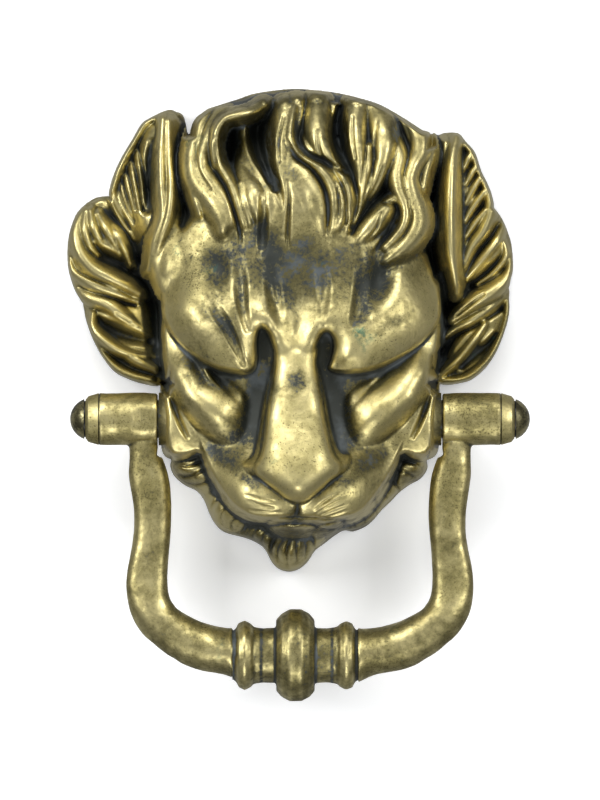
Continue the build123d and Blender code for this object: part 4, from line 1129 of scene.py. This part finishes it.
def formed(co, x, z, on_barrel):
    """The arms' flats, the stout bar and the filed patch. x (unsigned) and z are those of the CAD solid."""
    across = x - np.interp(-z, ARM_BELOW, ARM_MIDDLE)
    near = np.abs(across) < ARM_REACH
    side = np.sign(co[:, 0])
    co[:, 0] += side * across * WIDER * (fade(z, ARM_END, WIDER_LOW) * fade(-z, *WIDER_TOP) * near)
    flare = FLARE * fade(-z, *FLARE_TOP) * (1 - fade(-z, *FLARE_LOW)) ** 2
    co[:, 0] += side * flare * fade(-across, 0, FLARE_WIDTH) * (x > FLARE_FROM)
    co = stout_bar(co)
    flat = fade(z, ARM_END, FLAT_LOW) * fade(-z, *FLAT_TOP) * near
    pressed(co, FLAT_H - FLAT_TILT * across, flat, FLAT_ROUND)
    pressed(co, FILED_H, fade(-x, -FILED_X, FILED_FADE) * (co[:, 0] < 0) * on_barrel)
    return co


def set_points(mesh, co):
    """Puts a mesh's points where door coordinates about the pivot say, with y for -h."""
    mesh.vertices.foreach_set("co", (co * MM + np.array(PIVOT)).ravel())
    mesh.update()


def hump(x, middle, half, power=2):
    """1 at the middle, falling to 1/e at the half width; a higher power has a flatter top."""
    return np.exp(-(((x - middle) / half) ** power))


def bail_marks(piece, co, x, z, pairs):
    """Hollows and edges for the patina, dark seams, and darker towards the bottom, on the bar and the bends.
    """
    normal = vertex_array(piece.data, "normal")
    hollow, fine = (np.einsum("ij,ij->i", relaxed(co, pairs, passes) - co, normal) for passes in (24, 6))
    off_bar = np.hypot(co[:, 1], z - BAR_Z)
    seams = np.zeros(len(co))
    for seam in SEAMS:
        seams = np.maximum(seams, hump(co[:, 0], seam, SEAM_HALF) * (off_bar < SEAM_R) * SEAM_DIRT)
    seams = np.maximum(seams, SEAM_DIRT * hump(x, FERRULE_SEAM, FERRULE_SEAM_HALF))
    ends = COLLARS_DIRT * hump(co[:, 0], BEAD_X, COLLARS_HALF, 4) * (off_bar < BEAD_R)
    bead = BEAD_DIRT * hump(co[:, 0], BEAD_X, BEAD_HALF, 4) * (off_bar < BEAD_R)
    mark(piece, "depth", np.clip(hollow * HOLLOW_GAIN, 0, 3))
    mark(piece, "fine", np.clip(-fine * FINE_GAIN, -1, 1))
    mark(piece, "broad", np.zeros(len(co)))
    mark(piece, "grime_and_shade", np.maximum(seams, ends + bead) + LOW_DARKENING * fade(-z, *LOW_DARKENING_TOP))


def knocker_bail():
    """The cast bail: soft fillets, a flat filed along the front of each arm, and a cast surface."""
    source = frame["nodes"]["knocker_bail"]
    piece = placed("cast_bail", source.data.copy())
    step = piece.modifiers.new("step", "REMESH")
    step.mode = "VOXEL"
    step.voxel_size = VOXEL
    combine(piece, "UNION", [])
    mesh = piece.data
    pairs = edge_pairs(mesh)
    co = (vertex_array(mesh, "co") - np.array(PIVOT)) / MM
    x, z = np.abs(co[:, 0]), co[:, 2]
    r = np.hypot(co[:, 1], z)
    on_barrel = (x > BARREL_IN - 0.2) & (r < BARREL_R + 0.5) & (z > -BARREL_R)
    keep = fade(r, MACHINED_R, 1.0) * fade(-x, 1.0 - BARREL_OUT, 1.0) * fade(x - BARREL_IN, 0.4, 1.0)
    free = np.where(on_barrel, keep, 1.0)[:, None]  # the bores and end faces stay as machined
    soft = co
    for _ in range(SMOOTHINGS):  # each pair of steps smooths without shrinking
        soft = relaxed(relaxed(soft, pairs, 1, 0.6), pairs, 1, -0.58)
    co = formed(co + (soft - co) * free, x, z, on_barrel)
    set_points(mesh, co)
    dents = DENT * waviness(co, DENT_SIZE, 3) + RIPPLE * waviness(co, RIPPLE_SIZE, 5)
    co = co + vertex_array(mesh, "normal") * (dents * free[:, 0])[:, None]
    set_points(mesh, co)
    bail_marks(piece, co, x, z, pairs)
    smooth_shaded(piece)
    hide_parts("knocker_bail")
    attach(piece, "bail")
    return piece


# ---- materials -------------------------------------------------------------------------------------------
class Graph:
    """A material's nodes, added one at a time."""

    def __init__(self, name):
        self.material = bpy.data.materials.new(name)
        self.material.use_nodes = True
        self.tree = self.material.node_tree
        self.shader = self.tree.nodes["Principled BSDF"]
        self.place = self.add("ShaderNodeTexCoord").outputs["Object"]

    def add(self, kind, **settings):
        node = self.tree.nodes.new(kind)
        for key, value in settings.items():
            setattr(node, key, value)
        return node

    def feed(self, socket, value):
        if isinstance(value, bpy.types.NodeSocket):
            self.tree.links.new(value, socket)
        elif isinstance(value, tuple) and len(value) == 3:
            socket.default_value = (*value, 1)
        else:
            socket.default_value = value

    def noise(self, scale, detail=3.0, rough=0.55, distort=0.0, where=None):
        node = self.add("ShaderNodeTexNoise")
        self.feed(node.inputs["Vector"], where or self.place)
        for key, value in (("Scale", scale), ("Detail", detail), ("Roughness", rough),
                           ("Distortion", distort)):
            node.inputs[key].default_value = value
        return node.outputs[0]

    def stretched(self, x, y, z):
        node = self.add("ShaderNodeMapping")
        self.feed(node.inputs["Vector"], self.place)
        node.inputs["Scale"].default_value = (x, y, z)
        return node.outputs[0]

    def attribute(self, name):
        return self.add("ShaderNodeAttribute", attribute_name=name).outputs["Fac"]

    def ramp(self, value, low, high, to_low=0.0, to_high=1.0):
        node = self.add("ShaderNodeMapRange", interpolation_type="SMOOTHSTEP")
        self.feed(node.inputs["Value"], value)
        for key, number in (("From Min", low), ("From Max", high), ("To Min", to_low), ("To Max", to_high)):
            node.inputs[key].default_value = number
        return node.outputs[0]

    def math(self, operation, a, b):
        node = self.add("ShaderNodeMath", operation=operation)
        for socket, value in zip(node.inputs, (a, b)):
            self.feed(socket, value)
        return node.outputs[0]

    def total(self, first, *others):
        for value in others:
            first = self.math("ADD", first, value)
        return first

    def times(self, a, b):
        return self.math("MULTIPLY", a, b)

    def centred(self, noise, spread):
        """A noise's swing about its middle."""
        return self.times(self.math("SUBTRACT", noise, 0.5), spread)

    def spared(self, value, worn, share):
        """A value made less where the metal is rubbed bright."""
        return self.times(value, self.math("SUBTRACT", 1.0, self.times(worn, share)))

    def mix(self, share, a, b):
        node = self.add("ShaderNodeMix", data_type="RGBA")
        self.feed(node.inputs[0], share)
        self.feed(node.inputs[6], a)
        self.feed(node.inputs[7], b)
        return node.outputs[2]

    def bump(self, height, strength, distance, after=None):
        node = self.add("ShaderNodeBump")
        node.inputs["Strength"].default_value = strength
        node.inputs["Distance"].default_value = distance
        self.feed(node.inputs["Height"], height)
        if after is not None:
            self.feed(node.inputs["Normal"], after)
        return node.outputs[0]

    def finish(self, colour, rough, metal, normal):
        look = {"Base Color": colour, "Roughness": rough, "Metallic": metal, "Normal": normal}
        for key, value in look.items():
            self.feed(self.shader.inputs[key], value)
        return self.material


GOLD = (0.72, 0.64, 0.31)
WARM_GOLD = (0.62, 0.52, 0.24)
DULL_GOLD = (0.34, 0.295, 0.12)
OLIVE = (0.13, 0.115, 0.05)
PIT_BROWN = (0.09, 0.075, 0.035)
# the near-black of old patina, also used for the painted shade in the eye hollows and at the lug ends
PATINA_AND_SHADE = (0.030, 0.034, 0.028)
GREY_DUST = (0.10, 0.115, 0.12)
VERDIGRIS = (0.05, 0.16, 0.11)


def brass(name, relief, tarnish, pits, dirt=0.0):
    """Handled brass: bright where it is rubbed, with brown-olive tarnish, dark pits and a near-black patina,
    which also serves as painted shade where the marks call for it.

    relief says that the piece has marks for its hollows and edges. Without them the patina follows noise.
    """
    g = Graph(name)
    cloud = g.noise(45, 4, 0.6)
    patches = g.noise(150, 5, 0.65, 0.3)
    grain = g.noise(800, 4, 0.65)
    speck = g.noise(1700, 2, 0.5)
    if relief:
        depth, fine, broad, grime_and_shade = map(g.attribute, ("depth", "fine", "broad", "grime_and_shade"))
        sunk = g.ramp(depth, 0.3, 3.8, 0.0, 0.9)
        creased = g.ramp(fine, -0.06, -0.55, 0.0, 0.30)
        recessed = g.ramp(broad, -0.8, -6.5, 0.0, 0.80)
        # the dark patches bring old patina, and painted shade in the eye hollows and at the lug ends
        low = g.total(sunk, creased, recessed, g.times(grime_and_shade, 0.85), dirt)
        worn = g.ramp(fine, 0.03, 0.26)
    else:
        low = g.ramp(g.noise(30, 4), 0.50, 0.80, 0.0, 0.45)
        worn = g.ramp(g.noise(34, 3), 0.50, 0.75)
    smooth = g.total(low, g.centred(patches, 1.2))
    ragged = g.total(smooth, g.centred(grain, 1.7))
    ragged = g.math("SUBTRACT", ragged, g.times(worn, 0.25))
    dark = g.ramp(ragged, 0.46, 0.92)
    halo = g.ramp(g.total(g.times(smooth, 0.7), g.times(ragged, 0.3)), 0.02, 0.60, 0.0, 0.88)
    film = g.ramp(g.total(cloud, g.times(patches, 0.7)), 0.66, 1.00, 0.0, tarnish)
    film = g.spared(film, worn, 0.7)
    clean = g.mix(film, g.mix(patches, GOLD, WARM_GOLD), DULL_GOLD)
    darken = g.ramp(g.total(speck, g.times(cloud, 0.7)), 1.06 - pits * 0.10, 1.14, 0.0, 0.8)
    darken = g.spared(darken, worn, 0.6)
    colour = g.mix(halo, g.mix(darken, clean, PIT_BROWN), OLIVE)
    deep = g.mix(g.ramp(g.noise(70, 4), 0.48, 0.68), PATINA_AND_SHADE, GREY_DUST)
    colour = g.mix(dark, colour, deep)
    green = g.times(g.ramp(g.noise(52, 2, 0.5), 0.68, 0.76), g.ramp(grain, 0.42, 0.6))
    colour = g.mix(g.times(green, 0.7), colour, VERDIGRIS)
    rough = g.total(g.ramp(patches, 0.3, 0.8, 0.33, 0.46), g.times(film, 0.14), g.times(darken, 0.15))
    rough = g.math("MAXIMUM", rough, g.times(dark, 0.6))
    metal = g.ramp(dark, 0.0, 1.0, 1.0, 0.45)
    scratch = g.noise(1.0, 2, 0.6, 0.0, g.stretched(2600, 900, 160))
    soft = g.bump(patches, 0.35, 0.0006)
    cast = g.bump(grain, 0.40, 0.00016, soft)
    cast = g.bump(scratch, 0.12, 0.00004, cast)
    return g.finish(colour, rough, metal, cast)


def dark_bronze(name):
    """Turned pin heads gone dark, with some metal showing where they are touched."""
    g = Graph(name)
    cloud = g.noise(150, 4, 0.6)
    grain = g.noise(1200, 3)
    worn = g.ramp(g.total(cloud, g.times(grain, 0.3)), 0.58, 0.80)
    colour = g.mix(worn, (0.105, 0.095, 0.052), (0.40, 0.355, 0.18))
    rough = g.ramp(cloud, 0.35, 0.7, 0.42, 0.24)
    return g.finish(colour, rough, 1.0, g.bump(grain, 0.3, 0.0001))


def washer_steel(name, base, worn_colour):
    """Turned steel with fine rings and a cloudy finish."""
    g = Graph(name)
    cloud = g.noise(200, 4, 0.6)
    rings = g.noise(1.0, 2, 0.6, 0.0, g.stretched(4000, 300, 300))
    colour = g.mix(g.ramp(cloud, 0.45, 0.7), base, worn_colour)
    return g.finish(colour, g.ramp(cloud, 0.35, 0.7, 0.35, 0.6), 1.0, g.bump(rings, 0.25, 0.00006))


def coat(obj, material):
    """Gives a whole object one material."""
    obj.data.materials.clear()
    obj.data.materials.append(material)


# ---- the knocker -----------------------------------------------------------------------------------------
mask_brass = brass("mask_brass_patina", True, 0.75, 1.0)
bail_brass = brass("bail_brass_tarnish", True, 1.0, 1.6, 0.20)
ferrule_brass = brass("ferrule_brass_tarnish", False, 1.0, 1.6)
pin_bronze = dark_bronze("pin_bronze_dark")
dark_washer = washer_steel("dark_washer_steel", (0.030, 0.030, 0.028), (0.10, 0.09, 0.07))
zinc = washer_steel("zinc_steel", (0.36, 0.36, 0.35), (0.52, 0.52, 0.50))

coat(lion_mask(), mask_brass)
coat(knocker_bail(), bail_brass)
FINISHES = {
    "barrel_ferrule": ferrule_brass,
    "pivot_pin": pin_bronze,
    "head_washer": dark_washer,
    "thrust_washer": dark_washer,
    "spring_washer": zinc,
    "pin_nut": zinc,
}
for node, obj in frame["nodes"].items():
    for ending, material in FINISHES.items():
        if node.endswith(ending):
            coat(obj, material)

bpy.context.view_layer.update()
